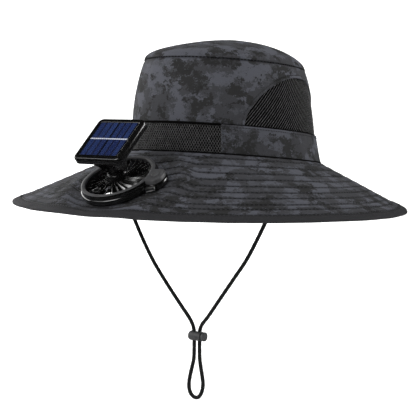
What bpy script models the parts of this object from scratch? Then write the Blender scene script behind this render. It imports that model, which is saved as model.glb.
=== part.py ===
"""Wide-brimmed sun hat with a small fan and a solar panel on its brim, and a chin cord with a cord lock.

Metres. +Z is up, +X is the wearer's left and the front faces -Y.
The origin is the centre of the crown's opening, where a head goes in.
"""
import math

import bmesh
import bpy
import numpy as np
from mathutils import Matrix

# Crown
OPENING_HALF_WIDTH = 0.0874
OPENING_HALF_LENGTH = 0.1013
SEAM_HEIGHT = 0.0867          # tip seam above the opening
DOME_LIP = 0.0012             # upright edge of the dome at the tip seam
DOME_RISE = 0.0233            # top of the dome above that lip
RING_SLOPE = 0.100            # the crown's rings rise towards the front by this much
CROWN_LEAN = 0.0016           # the tip seam's centre lies this far back
CROWN_BULGE = 0.0016
CLOTH = 0.0015
BAND_HEIGHT = 0.0256
BAND_THICK = 0.0018
BAND_STEP = 0.0010            # the band stands this proud of the crown
BAND_TUCK = 0.0040            # the crown's wall runs this far down behind the band
BAND_SEAM_DEPTH = 0.0026      # the band's foot goes this far down inside the brim
BAND_FOOT_INSET = 0.0022      # and leans in by this much, to clear the brim's sloped inner edge
MESH_HALF_ANGLE = math.radians(38.0)

# Each row is one ring of the crown, as shares of the sizes above.
CROWN_RING_COLUMNS = ("height", "half_width", "half_length", "lean", "slope")
CROWN_RINGS = (
    (0.000, 1.000, 1.0000, 0.0, 1.01),
    (0.295, 0.944, 0.9585, 0.3, 1.10),
    (1.000, 0.816, 0.8315, 1.0, 0.89),
)

# Arched net vents in the crown's two sides
VENT_MIDDLE = math.radians(100.0)
VENT_HALF_ANGLE = math.radians(48.5)
VENT_RISE = 0.0495            # top of the arch above the band
VENT_FOOT = 0.0012            # foot of the arch above the band
VENT_POINTEDNESS = 0.65
NET_THICK = 0.0010
NET_INSET = 0.0006

# Brim
BRIM_HALF_SPAN = 0.1865
BRIM_DROP = 0.0450
BRIM_THICK = 0.0024
BINDING_WIDTH = 0.0080
BINDING_THICK = 0.0007
BINDING_EDGE = 0.0016         # the tape stands this far out from the brim's own edge

# Each row is 30 degrees further round from the front: reach and drop, as shares of the two sizes above.
BRIM_EDGE_COLUMNS = ("reach", "drop")
BRIM_EDGE = (
    (1.072, 0.933),
    (1.072, 0.944),
    (1.056, 0.960),
    (1.000, 1.000),
    (0.903, 1.009),
    (0.831, 0.996),
    (0.804, 0.989),
)

# Fan, in its own frame: z stands square on the brim, y runs up the brim towards the crown
FAN_EDGE_ROOM = 0.047428      # from the fan's centre to the brim's front edge
FAN_REACH = BRIM_HALF_SPAN * BRIM_EDGE[0][0] - FAN_EDGE_ROOM
FAN_FLAT = 0.047            # the brim lies flat under the fan out to this radius
FAN_BLEND = 0.070
FLANGE_RADIUS = 0.0350
FLANGE_TOP = 0.0056
TUBE_RADIUS = 0.0275          # inside of the fan's tube
TUBE_WALL = 0.0011
TUBE_DEPTH = 0.0090
RING_RADIUS = 0.0337
RING_HOLE = 0.0290
RING_HEIGHT = 0.0037
EAR_OUT = 0.0355
EAR_UP = 0.0042
EAR_RADIUS = 0.0095
EAR_SKIRT = 0.0010            # the base's ear is this much larger than the ring's
BUTTON_OUT = 0.0378         # the button's distance from the fan's axis
BUTTON_RADIUS = 0.0036
BUTTON_PROUD = 0.0006
BUTTON_TRAVEL = 0.0008
HUB_RADIUS = 0.0105
HUB_TOP = 0.0135
GUARD_THICK = 0.0017
GUARD_DIP = 0.0026            # the guard is dished by this much between hub and ring
VANE_COUNT = 28
VANE_THICK = 0.0013
VANE_SWEEP = math.radians(24.0)
BLADE_COUNT = 7
BLADE_PITCH = math.radians(34.0)
BLADE_CHORD = 0.0110
BLADE_THICK = 0.0012
BLADE_TIP = 0.0262
SHAFT_RADIUS = 0.0018
RETAINER_THICK = 0.0030
PORT_WIDTH = 0.0082
PORT_HEIGHT = 0.0028
PORT_DEPTH = 0.0050
PORT_WALL = 0.0005
PORT_PLACE = (0.0383, -0.0074)
PORT_TURN = math.radians(28.0)

# Solar panel, in its own frame: the origin is the tilt pin, z stands square on the panel
PIVOT_RISE = 0.0205           # tilt pin above the brim, along the fan's axis
PANEL_TILT = math.radians(42.0)
PANEL_WIDTH = 0.0515
PANEL_LENGTH = 0.0500
PANEL_THICK = 0.0075
PANEL_TOP = 0.0210            # panel's face over the tilt pin
PANEL_SHIFT = 0.0101          # panel's centre beyond the tilt pin, towards the crown
PANEL_CORNER = 0.0050
PANEL_BORDER = 0.0050
PANEL_RECESS = 0.0009
NECK_RADIUS = 0.0048
NECK_FOOT_RADIUS = 0.0072
NECK_FOOT_THICK = 0.0014
KNUCKLE_RADIUS = 0.0040
KNUCKLE_HALF = 0.0055
PIN_RADIUS = 0.0018
EYE_RADIUS = 0.0048
BRACKET_HALF = 0.0105
BRACKET_PLATE = 0.0030
BRACKET_REAR = 0.0170
BRACKET_FRONT = 0.0105

# Chin cord and cord lock
CORD_DIAMETER = 0.0034
CORD_POINTS = 58
ANCHOR_PLACE = (0.0905, -0.0370)
ANCHOR_SIZE = 0.0090
ANCHOR_FOOT = -0.0110
LOCK_CENTRE = (0.0, -0.0430, -0.1657)
LOCK_RADIUS = 0.0046
LOCK_START = -0.0093
LOCK_END = 0.0049
LOCK_BORE = 0.0035
LOCK_FLOOR = 0.0016
LOCK_SLOT = 0.0041
LOCK_TRAVEL = 0.0012
HEAD_THICK = 0.0024
HEAD_RADIUS = 0.0044

# Route of the chin cord, chosen by hand, from the wearer's right anchor to the left one
CORD_ROUTE = (
    (-0.0905, -0.0370, -0.0114),
    (-0.0904, -0.0370, -0.0200),
    (-0.0890, -0.0376, -0.0350),
    (-0.0853, -0.0386, -0.0480),
    (-0.0787, -0.0395, -0.0606),
    (-0.0673, -0.0402, -0.0800),
    (-0.0547, -0.0408, -0.0989),
    (-0.0392, -0.0415, -0.1176),
    (-0.0223, -0.0421, -0.1363),
    (-0.0105, -0.0426, -0.1489),
    (-0.0064, -0.0429, -0.1545),
    (-0.0044, -0.0430, -0.1597),
    (-0.0040, -0.0430, -0.1657),
    (-0.0041, -0.0430, -0.1780),
    (-0.0045, -0.0430, -0.1875),
    (-0.0066, -0.0430, -0.1960),
    (-0.0090, -0.0430, -0.2050),
    (-0.0103, -0.0430, -0.2133),
    (-0.0091, -0.0430, -0.2200),
    (-0.0057, -0.0430, -0.2238),
    (-0.0019, -0.0430, -0.2248),
    (0.0020, -0.0430, -0.2230),
    (0.0050, -0.0430, -0.2177),
    (0.0062, -0.0430, -0.2105),
    (0.0050, -0.0430, -0.2020),
    (0.0033, -0.0430, -0.1930),
    (0.0023, -0.0430, -0.1850),
    (0.0023, -0.0430, -0.1657),
    (0.0027, -0.0430, -0.1597),
    (0.0046, -0.0429, -0.1550),
    (0.0077, -0.0428, -0.1509),
    (0.0120, -0.0426, -0.1459),
    (0.0240, -0.0421, -0.1298),
    (0.0393, -0.0414, -0.1093),
    (0.0537, -0.0408, -0.0898),
    (0.0648, -0.0402, -0.0707),
    (0.0733, -0.0396, -0.0546),
    (0.0815, -0.0386, -0.0380),
    (0.0875, -0.0376, -0.0240),
    (0.0902, -0.0371, -0.0160),
    (0.0905, -0.0370, -0.0114),
)

GAP = 0.0003
CUT_REACH = 0.02              # cutters for holes stick out this far
FLOAT_GUARD = 1e-5
AROUND = 48
BRIM_RINGS = 7
TURN_STEPS = 36
FINE_STEPS = 16


def clear_scene():
    for item in list(bpy.data.objects):
        bpy.data.objects.remove(item, do_unlink=True)


def collection(name):
    found = bpy.data.collections.new(name)
    bpy.context.scene.collection.children.link(found)
    return found


clear_scene()
PARTS = collection("solar_fan_hat")
CUTTERS = collection("cutters")


def material(name, colour, roughness, metallic=0.0):
    made = bpy.data.materials.new(name)
    made.use_nodes = True
    shader = made.node_tree.nodes["Principled BSDF"]
    shader.inputs["Base Color"].default_value = (*colour, 1.0)
    shader.inputs["Roughness"].default_value = roughness
    shader.inputs["Metallic"].default_value = metallic
    return made


CLOTH_FINISH = material("camouflage_cloth", (0.050, 0.052, 0.060), 0.85)
TAPE_FINISH = material("binding_tape", (0.045, 0.046, 0.052), 0.80)
NET_FINISH = material("black_net", (0.012, 0.012, 0.013), 0.75)
BLACK_GLOSS = material("black_plastic", (0.010, 0.010, 0.011), 0.18)
SATIN_GREY = material("satin_plastic", (0.030, 0.031, 0.033), 0.40)
CELL_FINISH = material("solar_cell", (0.012, 0.030, 0.110), 0.15)
SOCKET_METAL = material("socket_metal", (0.60, 0.60, 0.62), 0.30, 1.0)
CORD_FINISH = material("cord_braid", (0.014, 0.014, 0.015), 0.70)


def mesh_object(name, points, faces, finish, folder=PARTS):
    mesh = bpy.data.meshes.new(name)
    mesh.from_pydata([tuple(map(float, point)) for point in points], [], faces)
    mesh.update()
    made = bpy.data.objects.new(name, mesh)
    if finish:
        mesh.materials.append(finish)
    folder.objects.link(made)
    return made


def finished(obj, sharp=40.0):
    """Smooth shading with creases kept."""
    obj.data.shade_smooth()
    obj.data.set_sharp_from_angle(angle=math.radians(sharp))
    return obj


def cutter(obj):
    obj.hide_render = True
    obj.display_type = "WIRE"
    return obj


def boolean(obj, tool, operation):
    change = obj.modifiers.new(operation.lower(), "BOOLEAN")
    change.operation = operation
    change.object = cutter(tool)


def frame_empty(name, matrix):
    holder = bpy.data.objects.new(name, None)
    PARTS.objects.link(holder)
    holder.matrix_world = matrix
    return holder


def place_under(holder, *pieces):
    for piece in pieces:
        piece.parent = holder


def grid_faces(rows, columns, closed):
    """Quads between successive rows of points; closed joins the last column to the first."""
    last = columns if closed else columns - 1
    faces = []
    for row in range(rows - 1):
        for column in range(last):
            after = (column + 1) % columns
            low, high = row * columns, (row + 1) * columns
            faces.append((low + column, low + after, high + after, high + column))
    return faces


def solidify(obj, thickness):
    """A wall that grows behind the surface's outer side."""
    wall = obj.modifiers.new("wall", "SOLIDIFY")
    wall.thickness = thickness
    wall.offset = -1.0
    wall.use_even_offset = True


def round_angles(count=AROUND):
    return np.arange(count) * (2.0 * math.pi / count)


def share(column, columns, table, at, height_column):
    here = columns.index(column)
    rows = np.array(table)
    return np.interp(at, rows[:, height_column], rows[:, here])


def crown_point(angle, height, inset=0.0):
    """Point of the crown's outer surface. The angle runs from the front to the wearer's left."""
    at = height / SEAM_HEIGHT
    ring = {name: share(name, CROWN_RING_COLUMNS, CROWN_RINGS, at, 0) for name in CROWN_RING_COLUMNS}
    middle = np.clip((height - BAND_HEIGHT) / (SEAM_HEIGHT - BAND_HEIGHT), 0.0, 1.0)
    bulge = CROWN_BULGE * np.sin(math.pi * middle) * (0.5 - 0.5 * np.cos(angle))
    half_width = OPENING_HALF_WIDTH * ring["half_width"] + bulge - inset
    half_length = OPENING_HALF_LENGTH * ring["half_length"] + bulge - inset
    x = half_width * np.sin(angle)
    y = CROWN_LEAN * ring["lean"] - half_length * np.cos(angle)
    z = height - RING_SLOPE * ring["slope"] * y
    return np.stack([x, y, z + 0.0 * x], axis=-1)


def brim_edge_share(angle, column):
    """Smooth closed curve through the rows of the edge table, the same on both sides."""
    rows = np.array(BRIM_EDGE)[:, BRIM_EDGE_COLUMNS.index(column)]
    ring = np.concatenate([rows, rows[-2:0:-1]])
    place = (np.asarray(angle) % (2.0 * math.pi)) / (2.0 * math.pi) * len(ring)
    start = np.floor(place).astype(int)
    part = place - start
    before, here, after, beyond = (ring[(start + step) % len(ring)] for step in (-1, 0, 1, 2))
    return 0.5 * (2 * here + (after - before) * part
                  + (2 * before - 5 * here + 4 * after - beyond) * part ** 2
                  + (3 * here - before - 3 * after + beyond) * part ** 3)


def brim_edge_point(angle):
    reach = BRIM_HALF_SPAN * brim_edge_share(angle, "reach") - BINDING_EDGE
    drop = BRIM_DROP * brim_edge_share(angle, "drop")
    return np.stack([reach * np.sin(angle), -reach * np.cos(angle), -drop], axis=-1)


FRONT_INNER = crown_point(0.0, 0.0)
FRONT_OUTER = brim_edge_point(0.0)
FRONT_SLOPE = (FRONT_INNER[2] - FRONT_OUTER[2]) / (FRONT_INNER[1] - FRONT_OUTER[1])
FAN_TILT = math.atan(FRONT_SLOPE)
FAN_FOOT_Z = FRONT_INNER[2] - FRONT_SLOPE * (FAN_REACH + FRONT_INNER[1])
FAN_FRAME = Matrix.Translation((0.0, -FAN_REACH, FAN_FOOT_Z)) @ Matrix.Rotation(FAN_TILT, 4, "X")


def brim_point(angle, outward):
    """Point of the brim's top: straight from the crown to the edge, flat under the fan."""
    inner = crown_point(angle, 0.0)
    point = inner + (brim_edge_point(angle) - inner) * np.asarray(outward)[..., None]
    plane = FAN_FOOT_Z + (point[..., 1] + FAN_REACH) * FRONT_SLOPE
    across = np.hypot(point[..., 0], (point[..., 1] + FAN_REACH) / math.cos(FAN_TILT))
    away = np.clip((across - FAN_FLAT) / (FAN_BLEND - FAN_FLAT), 0.0, 1.0)
    away = away * away * (3.0 - 2.0 * away)
    point[..., 2] = away * point[..., 2] + (1.0 - away) * plane
    return point


def make_crown_side():
    """Cloth wall from behind the band up to the tip seam, cut out for the two vents."""
    angles = round_angles()
    tucked = BAND_THICK + GAP
    levels = [(BAND_HEIGHT - BAND_TUCK, tucked), (BAND_HEIGHT - GAP, tucked),
              (BAND_HEIGHT + 2 * GAP, BAND_STEP)]
    for part in (0.35, 0.7, 1.0):
        height = BAND_HEIGHT + part * (SEAM_HEIGHT - GAP / 2 - BAND_HEIGHT)
        levels.append((height, BAND_STEP * (1.0 - part)))
    points = np.concatenate([crown_point(angles, height, inset) for height, inset in levels])
    side = mesh_object("crown_side", points, grid_faces(len(levels), AROUND, True), CLOTH_FINISH)
    solidify(side, CLOTH)
    for sign in (1, -1):
        boolean(side, vent_cutter(sign), "DIFFERENCE")
    return finished(side)


def vent_top(across):
    """Height of the arch over its foot, for a place across it from -1 to 1."""
    return VENT_RISE * np.clip(1.0 - np.abs(across) ** 2, 0.0, 1.0) ** VENT_POINTEDNESS


def vent_angle(across, sign):
    return sign * (VENT_MIDDLE + across * VENT_HALF_ANGLE)


def vent_cutter(sign):
    """Prism through the wall with the arch's outline: an upright section carried across the arch."""
    across = np.sin(np.linspace(-0.97, 0.97, 15) * math.pi / 2)
    angles = vent_angle(across, sign)
    foot = np.full(len(across), BAND_HEIGHT + VENT_FOOT)
    arch = foot + vent_top(across)
    section = [crown_point(angles, foot, -0.005), crown_point(angles, arch, -0.005),
               crown_point(angles, arch, 0.010), crown_point(angles, foot, 0.010)]
    points = np.stack(section, axis=1).reshape(-1, 3)
    faces = grid_faces(len(across), len(section), True)
    last = len(points) - len(section)
    faces += [(0, 1, 2, 3), (last + 3, last + 2, last + 1, last)]
    tool = mesh_object(f"vent_cutter_{sign}", points, faces, None, CUTTERS)
    recalculate_outward(tool)
    return tool


def recalculate_outward(obj):
    work = bmesh.new()
    work.from_mesh(obj.data)
    bmesh.ops.recalc_face_normals(work, faces=work.faces)
    work.to_mesh(obj.data)
    work.free()


def make_vent(name, sign):
    """Net panel that fills the arch, a little smaller than the cut-out all round."""
    columns, rows = 15, 4
    inset_angle = NET_INSET / OPENING_HALF_LENGTH
    across = np.sin(np.linspace(-0.88, 0.88, columns) * math.pi / 2)
    angles = vent_angle(across, sign) - sign * inset_angle * across
    tall = vent_top(across) - 2 * NET_INSET
    foot = BAND_HEIGHT + VENT_FOOT + NET_INSET
    points = []
    for row in range(rows):
        height = foot + tall * row / (rows - 1)
        inset = BAND_STEP * (1.0 - (height - BAND_HEIGHT) / (SEAM_HEIGHT - BAND_HEIGHT)) + NET_THICK / 3
        points.append(crown_point(angles, height, inset))
    faces = grid_faces(rows, columns, False)
    if sign < 0:
        faces = [tuple(reversed(face)) for face in faces]
    vent = mesh_object(name, np.concatenate(points), faces, NET_FINISH)
    solidify(vent, NET_THICK)
    return finished(vent)


def make_crown_top():
    """Dome over the tip seam: its plane's tilt fades towards the middle."""
    angles = round_angles()
    rings = [crown_point(angles, SEAM_HEIGHT + GAP / 2)]
    for share_out in (1.0, 0.92, 0.74, 0.42):
        rings.append(dome_point(angles, share_out))
    points = np.concatenate(rings + [dome_point(np.array([0.0]), 0.0)])
    faces = grid_faces(len(rings), AROUND, True)
    pole = len(points) - 1
    last = (len(rings) - 1) * AROUND
    for column in range(AROUND):
        faces.append((last + column, last + (column + 1) % AROUND, pole))
    dome = mesh_object("crown_top", points, faces, CLOTH_FINISH)
    solidify(dome, CLOTH)
    return finished(dome)


def dome_point(angle, share_out):
    level = SEAM_HEIGHT + GAP / 2 + DOME_LIP
    edge = crown_point(angle, level)
    centre_y = CROWN_LEAN
    x = edge[..., 0] * share_out
    y = centre_y + (edge[..., 1] - centre_y) * share_out
    rise = DOME_RISE * (1.0 - share_out ** 1.8) ** 0.62
    tilt = (edge[..., 2] - level) * share_out ** 3
    return np.stack([x, y, level + rise + tilt], axis=-1)


def make_band(name, start, end, columns, finish):
    """Strip round the crown's foot between two angles; its foot goes down inside the brim."""
    angles = np.linspace(start, end, columns)
    levels = [(-BAND_SEAM_DEPTH, BAND_FOOT_INSET), (0.0, 2 * GAP), (3 * GAP, 0.0),
              (BAND_HEIGHT / 2, 0.0), (BAND_HEIGHT, 0.0)]
    points = [crown_point(angles, max(height, 0.0), inset) for height, inset in levels]
    points[0][..., 2] -= BAND_SEAM_DEPTH
    band = mesh_object(name, np.concatenate(points), grid_faces(len(levels), columns, False), finish)
    solidify(band, BAND_THICK)
    return finished(band)


def make_brim():
    angles = round_angles()
    shares = np.linspace(0.0, 1.0, BRIM_RINGS)
    rings = [brim_point(angles, np.full(AROUND, place)) for place in shares[::-1]]
    brim = mesh_object("brim", np.concatenate(rings), grid_faces(len(rings), AROUND, True), CLOTH_FINISH)
    solidify(brim, BRIM_THICK)
    tool = turned("brim_hole", [(0.0, CUT_REACH), (hole_radius(), CUT_REACH), (hole_radius(), -CUT_REACH),
                                (0.0, -CUT_REACH)], None, TURN_STEPS, CUTTERS)
    tool.matrix_world = FAN_FRAME
    boolean(brim, tool, "DIFFERENCE")
    return finished(brim)


def hole_radius():
    return TUBE_RADIUS + TUBE_WALL + 2 * GAP


def make_binding():
    """Tape folded round the brim's edge, its section carried round the edge."""
    angles = round_angles()
    inner = brim_point(angles, np.full(AROUND, 1.0 - 1.0 / (BRIM_RINGS - 1)))
    edge = brim_point(angles, np.full(AROUND, 1.0))
    outward = edge - inner
    outward /= np.linalg.norm(outward, axis=1)[:, None]
    along = np.roll(edge, -1, axis=0) - np.roll(edge, 1, axis=0)
    upward = np.cross(outward, along)
    upward /= np.linalg.norm(upward, axis=1)[:, None]
    near, far = 2.6 * GAP, BRIM_THICK + 3 * GAP
    skin = BINDING_THICK
    section = [(-BINDING_WIDTH, near), (-BINDING_WIDTH, near + skin), (0.3 * BINDING_EDGE, near + skin),
               (BINDING_EDGE, 0.0), (BINDING_EDGE, -BRIM_THICK), (0.3 * BINDING_EDGE, -far - skin),
               (-BINDING_WIDTH, -far - skin), (-BINDING_WIDTH, -far), (3 * GAP, -far), (3 * GAP, near)]
    rings = [edge + outward * out + upward * up for out, up in section]
    rings.append(rings[0])
    faces = grid_faces(len(rings), AROUND, True)
    tape = mesh_object("brim_binding", np.concatenate(rings), faces, TAPE_FINISH)
    weld(tape)
    recalculate_outward(tape)
    return finished(tape)


def weld(obj):
    work = bmesh.new()
    work.from_mesh(obj.data)
    bmesh.ops.remove_doubles(work, verts=work.verts, dist=FLOAT_GUARD / 10)
    work.to_mesh(obj.data)
    work.free()


def make_anchor(name, sign):
    """Block under the brim, its top cut to the brim's slope, that the cord's end meets."""
    x, y = sign * ANCHOR_PLACE[0], ANCHOR_PLACE[1]
    bpy.ops.mesh.primitive_cube_add(size=1.0)
    block = adopt(bpy.context.object, name, CLOTH_FINISH)
    half = ANCHOR_SIZE / 2
    for vertex in block.data.vertices:
        px = x + math.copysign(half, vertex.co.x)
        py = y + math.copysign(half, vertex.co.y)
        under = brim_height(px, py) - BRIM_THICK * 1.25 - GAP
        vertex.co = (px, py, under if vertex.co.z > 0 else ANCHOR_FOOT)
    return block


def brim_height(x, y):
    """Height of the brim's top over a point of the ground plan."""
    angle = math.atan2(x / OPENING_HALF_WIDTH, -y / OPENING_HALF_LENGTH)
    for _ in range(12):
        inner, edge = crown_point(angle, 0.0), brim_edge_point(angle)
        heading = edge - inner
        side = (x - inner[0]) * heading[1] - (y - inner[1]) * heading[0]
        angle -= side / (np.linalg.norm(heading[:2]) * OPENING_HALF_LENGTH)
    place = np.dot([x - inner[0], y - inner[1]], heading[:2]) / np.dot(heading[:2], heading[:2])
    return float(brim_point(np.array([angle]), np.array([place]))[0, 2])


def adopt(obj, name, finish, folder=PARTS):
    """Takes a primitive into its folder with a name and a finish."""
    obj.name = name
    obj.data.name = name
    for holder in list(obj.users_collection):
        holder.objects.unlink(obj)
    folder.objects.link(obj)
    if finish:
        obj.data.materials.clear()
        obj.data.materials.append(finish)
    return obj


def turned(name, profile, finish, steps=TURN_STEPS, folder=PARTS):
    """A profile of (radius, height) turned about Z. A profile off the axis is a closed loop."""
    mesh = bpy.data.meshes.new(name)
    on_axis = profile[0][0] == 0.0
    count = len(profile)
    edges = [(index, index + 1) for index in range(count - 1)]
    if not on_axis:
        edges.append((count - 1, 0))
    mesh.from_pydata([(radius, 0.0, height) for radius, height in profile], edges, [])
    made = bpy.data.objects.new(name, mesh)
    if finish:
        mesh.materials.append(finish)
    folder.objects.link(made)
    screw = made.modifiers.new("turn", "SCREW")
    screw.axis = "Z"
    screw.angle = 2.0 * math.pi
    screw.steps = steps
    screw.render_steps = steps
    screw.use_merge_vertices = True
    screw.merge_threshold = FLOAT_GUARD
    screw.use_smooth_shade = False
    return made


def cylinder(name, radius, low, high, centre, finish=None, folder=CUTTERS, steps=FINE_STEPS):
    made = turned(name, [(0.0, high), (radius, high), (radius, low), (0.0, low)], finish, steps, folder)
    made.location = (centre[0], centre[1], 0.0)
    return made


def box(name, low, high, finish=None, folder=CUTTERS):
    bpy.ops.mesh.primitive_cube_add(size=1.0)
    made = adopt(bpy.context.object, name, finish, folder)
    centre = [(a + b) / 2 for a, b in zip(low, high)]
    size = [b - a for a, b in zip(low, high)]
    for vertex in made.data.vertices:
        vertex.co = [centre[i] + vertex.co[i] * size[i] for i in range(3)]
    return made


FAN_SEAT = frame_empty("fan_seat", FAN_FRAME)
RING_BOTTOM = FLANGE_TOP + GAP
RING_TOP = RING_BOTTOM + RING_HEIGHT
EAR_CENTRE = (EAR_OUT, EAR_UP)
BUTTON_CENTRE = tuple(place * BUTTON_OUT / math.hypot(*EAR_CENTRE) for place in EAR_CENTRE)


def make_fan_base():
    """Flange on the brim with an ear, and the tube that goes down through the brim."""
    outer = TUBE_RADIUS + TUBE_WALL
    base = turned("fan_base", [
        (TUBE_RADIUS, FLANGE_TOP), (FLANGE_RADIUS - 0.0006, FLANGE_TOP),
        (FLANGE_RADIUS, FLANGE_TOP - 0.0012), (FLANGE_RADIUS, GAP), (outer, GAP),
        (outer, -TUBE_DEPTH), (TUBE_RADIUS, -TUBE_DEPTH)], BLACK_GLOSS)
    ear = cylinder("base_ear", EAR_RADIUS + EAR_SKIRT, GAP, FLANGE_TOP, EAR_CENTRE)
    throat = cylinder("base_throat", TUBE_RADIUS, -TUBE_DEPTH / 2, 2 * FLANGE_TOP, (0.0, 0.0),
                      steps=TURN_STEPS)
    pocket = port_box("base_pocket", PORT_WIDTH + 4 * GAP, PORT_DEPTH + 0.004, PORT_HEIGHT + 4 * GAP,
                      0.002)
    place_under(FAN_SEAT, base, ear, throat, pocket)
    boolean(base, ear, "UNION")
    boolean(base, throat, "DIFFERENCE")
    boolean(base, pocket, "DIFFERENCE")
    return finished(base)


PORT_MIDDLE = (GAP + FLANGE_TOP) / 2


def port_box(name, width, depth, height, forward=0.0, finish=None, folder=CUTTERS):
    """Box at the charging socket, whose mouth faces forward and a little outward."""
    made = box(name, (-width / 2, -depth / 2 - forward, -height / 2),
               (width / 2, depth / 2 - forward, height / 2), finish, folder)
    made.location = (*PORT_PLACE, PORT_MIDDLE)
    made.rotation_euler = (0.0, 0.0, PORT_TURN)
    return made


def make_charge_port():
    shell = port_box("charge_port", PORT_WIDTH, PORT_DEPTH, PORT_HEIGHT, 0.0, SOCKET_METAL, PARTS)
    hollow = port_box("port_hollow", PORT_WIDTH - 2 * PORT_WALL, PORT_DEPTH,
                      PORT_HEIGHT - 2 * PORT_WALL, 2 * PORT_WALL)
    place_under(FAN_SEAT, shell, hollow)
    boolean(shell, hollow, "DIFFERENCE")
    return shell


def make_fan_ring():
    """Top ring with the ear's cover, bored for the power button."""
    ring = turned("fan_ring", [
        (RING_HOLE, RING_TOP), (RING_RADIUS - 0.0007, RING_TOP), (RING_RADIUS, RING_TOP - 0.0007),
        (RING_RADIUS, RING_BOTTOM), (RING_HOLE, RING_BOTTOM)], SATIN_GREY)
    ear = cylinder("ring_ear", EAR_RADIUS, RING_BOTTOM, RING_TOP, EAR_CENTRE)
    throat = cylinder("ring_throat", RING_HOLE, 0.0, 2 * RING_TOP, (0.0, 0.0), steps=TURN_STEPS)
    bore = cylinder("button_bore", BUTTON_RADIUS + GAP, 0.0, 2 * RING_TOP, BUTTON_CENTRE)
    place_under(FAN_SEAT, ring, ear, throat, bore)
    boolean(ring, ear, "UNION")
    boolean(ring, throat, "DIFFERENCE")
    boolean(ring, bore, "DIFFERENCE")
    return finished(ring)


def make_power_button():
    low = FLANGE_TOP + BUTTON_TRAVEL + GAP / 2
    high = RING_TOP + BUTTON_PROUD
    button = turned("power_button", [(0.0, high), (BUTTON_RADIUS - 0.0004, high),
                                     (BUTTON_RADIUS, high - 0.0004), (BUTTON_RADIUS, low), (0.0, low)],
                    SATIN_GREY, FINE_STEPS)
    button.location = (*BUTTON_CENTRE, 0.0)
    place_under(FAN_SEAT, button)
    return finished(button)


GUARD_RIM = RING_HOLE - 2 * GAP
GUARD_RIM_TOP = RING_BOTTOM + GUARD_THICK
GUARD_MIDDLE = (HUB_RADIUS + GUARD_RIM) / 2
GUARD_UNDER = RING_BOTTOM - GUARD_DIP
SHAFT_TOP = HUB_TOP - 0.0040


def make_fan_grille():
    """Dished guard with a hub, slotted between swept vanes, bored below for the rotor's shaft."""
    guard = turned("fan_grille", [
        (0.0, HUB_TOP), (HUB_RADIUS - 0.0012, HUB_TOP), (HUB_RADIUS, HUB_TOP - 0.0012),
        (HUB_RADIUS, GUARD_RIM_TOP + 0.0004), (GUARD_MIDDLE, GUARD_UNDER + GUARD_THICK),
        (GUARD_RIM, GUARD_RIM_TOP), (GUARD_RIM, RING_BOTTOM), (GUARD_MIDDLE, GUARD_UNDER),
        (HUB_RADIUS, GUARD_UNDER + 0.0012), (HUB_RADIUS - 0.0020, GUARD_UNDER), (0.0, GUARD_UNDER)],
        BLACK_GLOSS)
    bore = cylinder("shaft_bore", SHAFT_RADIUS + GAP, 0.0, SHAFT_TOP + GAP, (0.0, 0.0))
    slots = slot_cutters()
    place_under(FAN_SEAT, guard, bore, slots)
    boolean(guard, slots, "DIFFERENCE")
    boolean(guard, bore, "DIFFERENCE")
    return finished(guard)


def vane_angle(radius):
    """A vane leans further round as it runs outwards."""
    return VANE_SWEEP * (radius - HUB_RADIUS) / (GUARD_RIM - HUB_RADIUS)


def slot_cutters():
    """One upright prism for each gap between two vanes."""
    radii = np.array([HUB_RADIUS + 0.0010, GUARD_RIM - 0.0014])
    pitch = 2.0 * math.pi / VANE_COUNT
    half_gap = pitch / 2 - VANE_THICK / (2.0 * radii)
    left = vane_angle(radii) - half_gap
    right = vane_angle(radii) + half_gap
    outline_radius = np.concatenate([radii, radii[::-1]])
    outline_angle = np.concatenate([left, right[::-1]])
    count = len(outline_radius)
    low, high = -GUARD_DIP, HUB_TOP + GUARD_DIP
    points, faces = [], []
    for index in range(VANE_COUNT):
        turn = outline_angle + index * pitch
        base = len(points)
        for height in (low, high):
            for radius, angle in zip(outline_radius, turn):
                points.append((radius * math.cos(angle), radius * math.sin(angle), height))
        faces.append(tuple(base + count - 1 - step for step in range(count)))
        faces.append(tuple(base + count + step for step in range(count)))
        for step in range(count):
            after = (step + 1) % count
            faces.append((base + step, base + after, base + count + after, base + count + step))
    tool = mesh_object("slot_cutters", points, faces, None, CUTTERS)
    recalculate_outward(tool)
    return tool


ROTOR_TOP = GUARD_UNDER - 3 * GAP
ROTOR_BOTTOM = -TUBE_DEPTH + 0.0015


def make_fan_impeller():
    """Rotor: hub, shaft up into the guard's hub, and pitched blades."""
    rotor = turned("fan_impeller", [
        (0.0, SHAFT_TOP - GAP), (SHAFT_RADIUS, SHAFT_TOP - GAP), (SHAFT_RADIUS, ROTOR_TOP),
        (HUB_RADIUS - 0.0010, ROTOR_TOP), (HUB_RADIUS - 0.0010, ROTOR_BOTTOM), (0.0, ROTOR_BOTTOM)],
        BLACK_GLOSS, FINE_STEPS)
    blades = blade_set()
    place_under(FAN_SEAT, rotor, blades)
    boolean(rotor, blades, "UNION")
    return finished(rotor)


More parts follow.
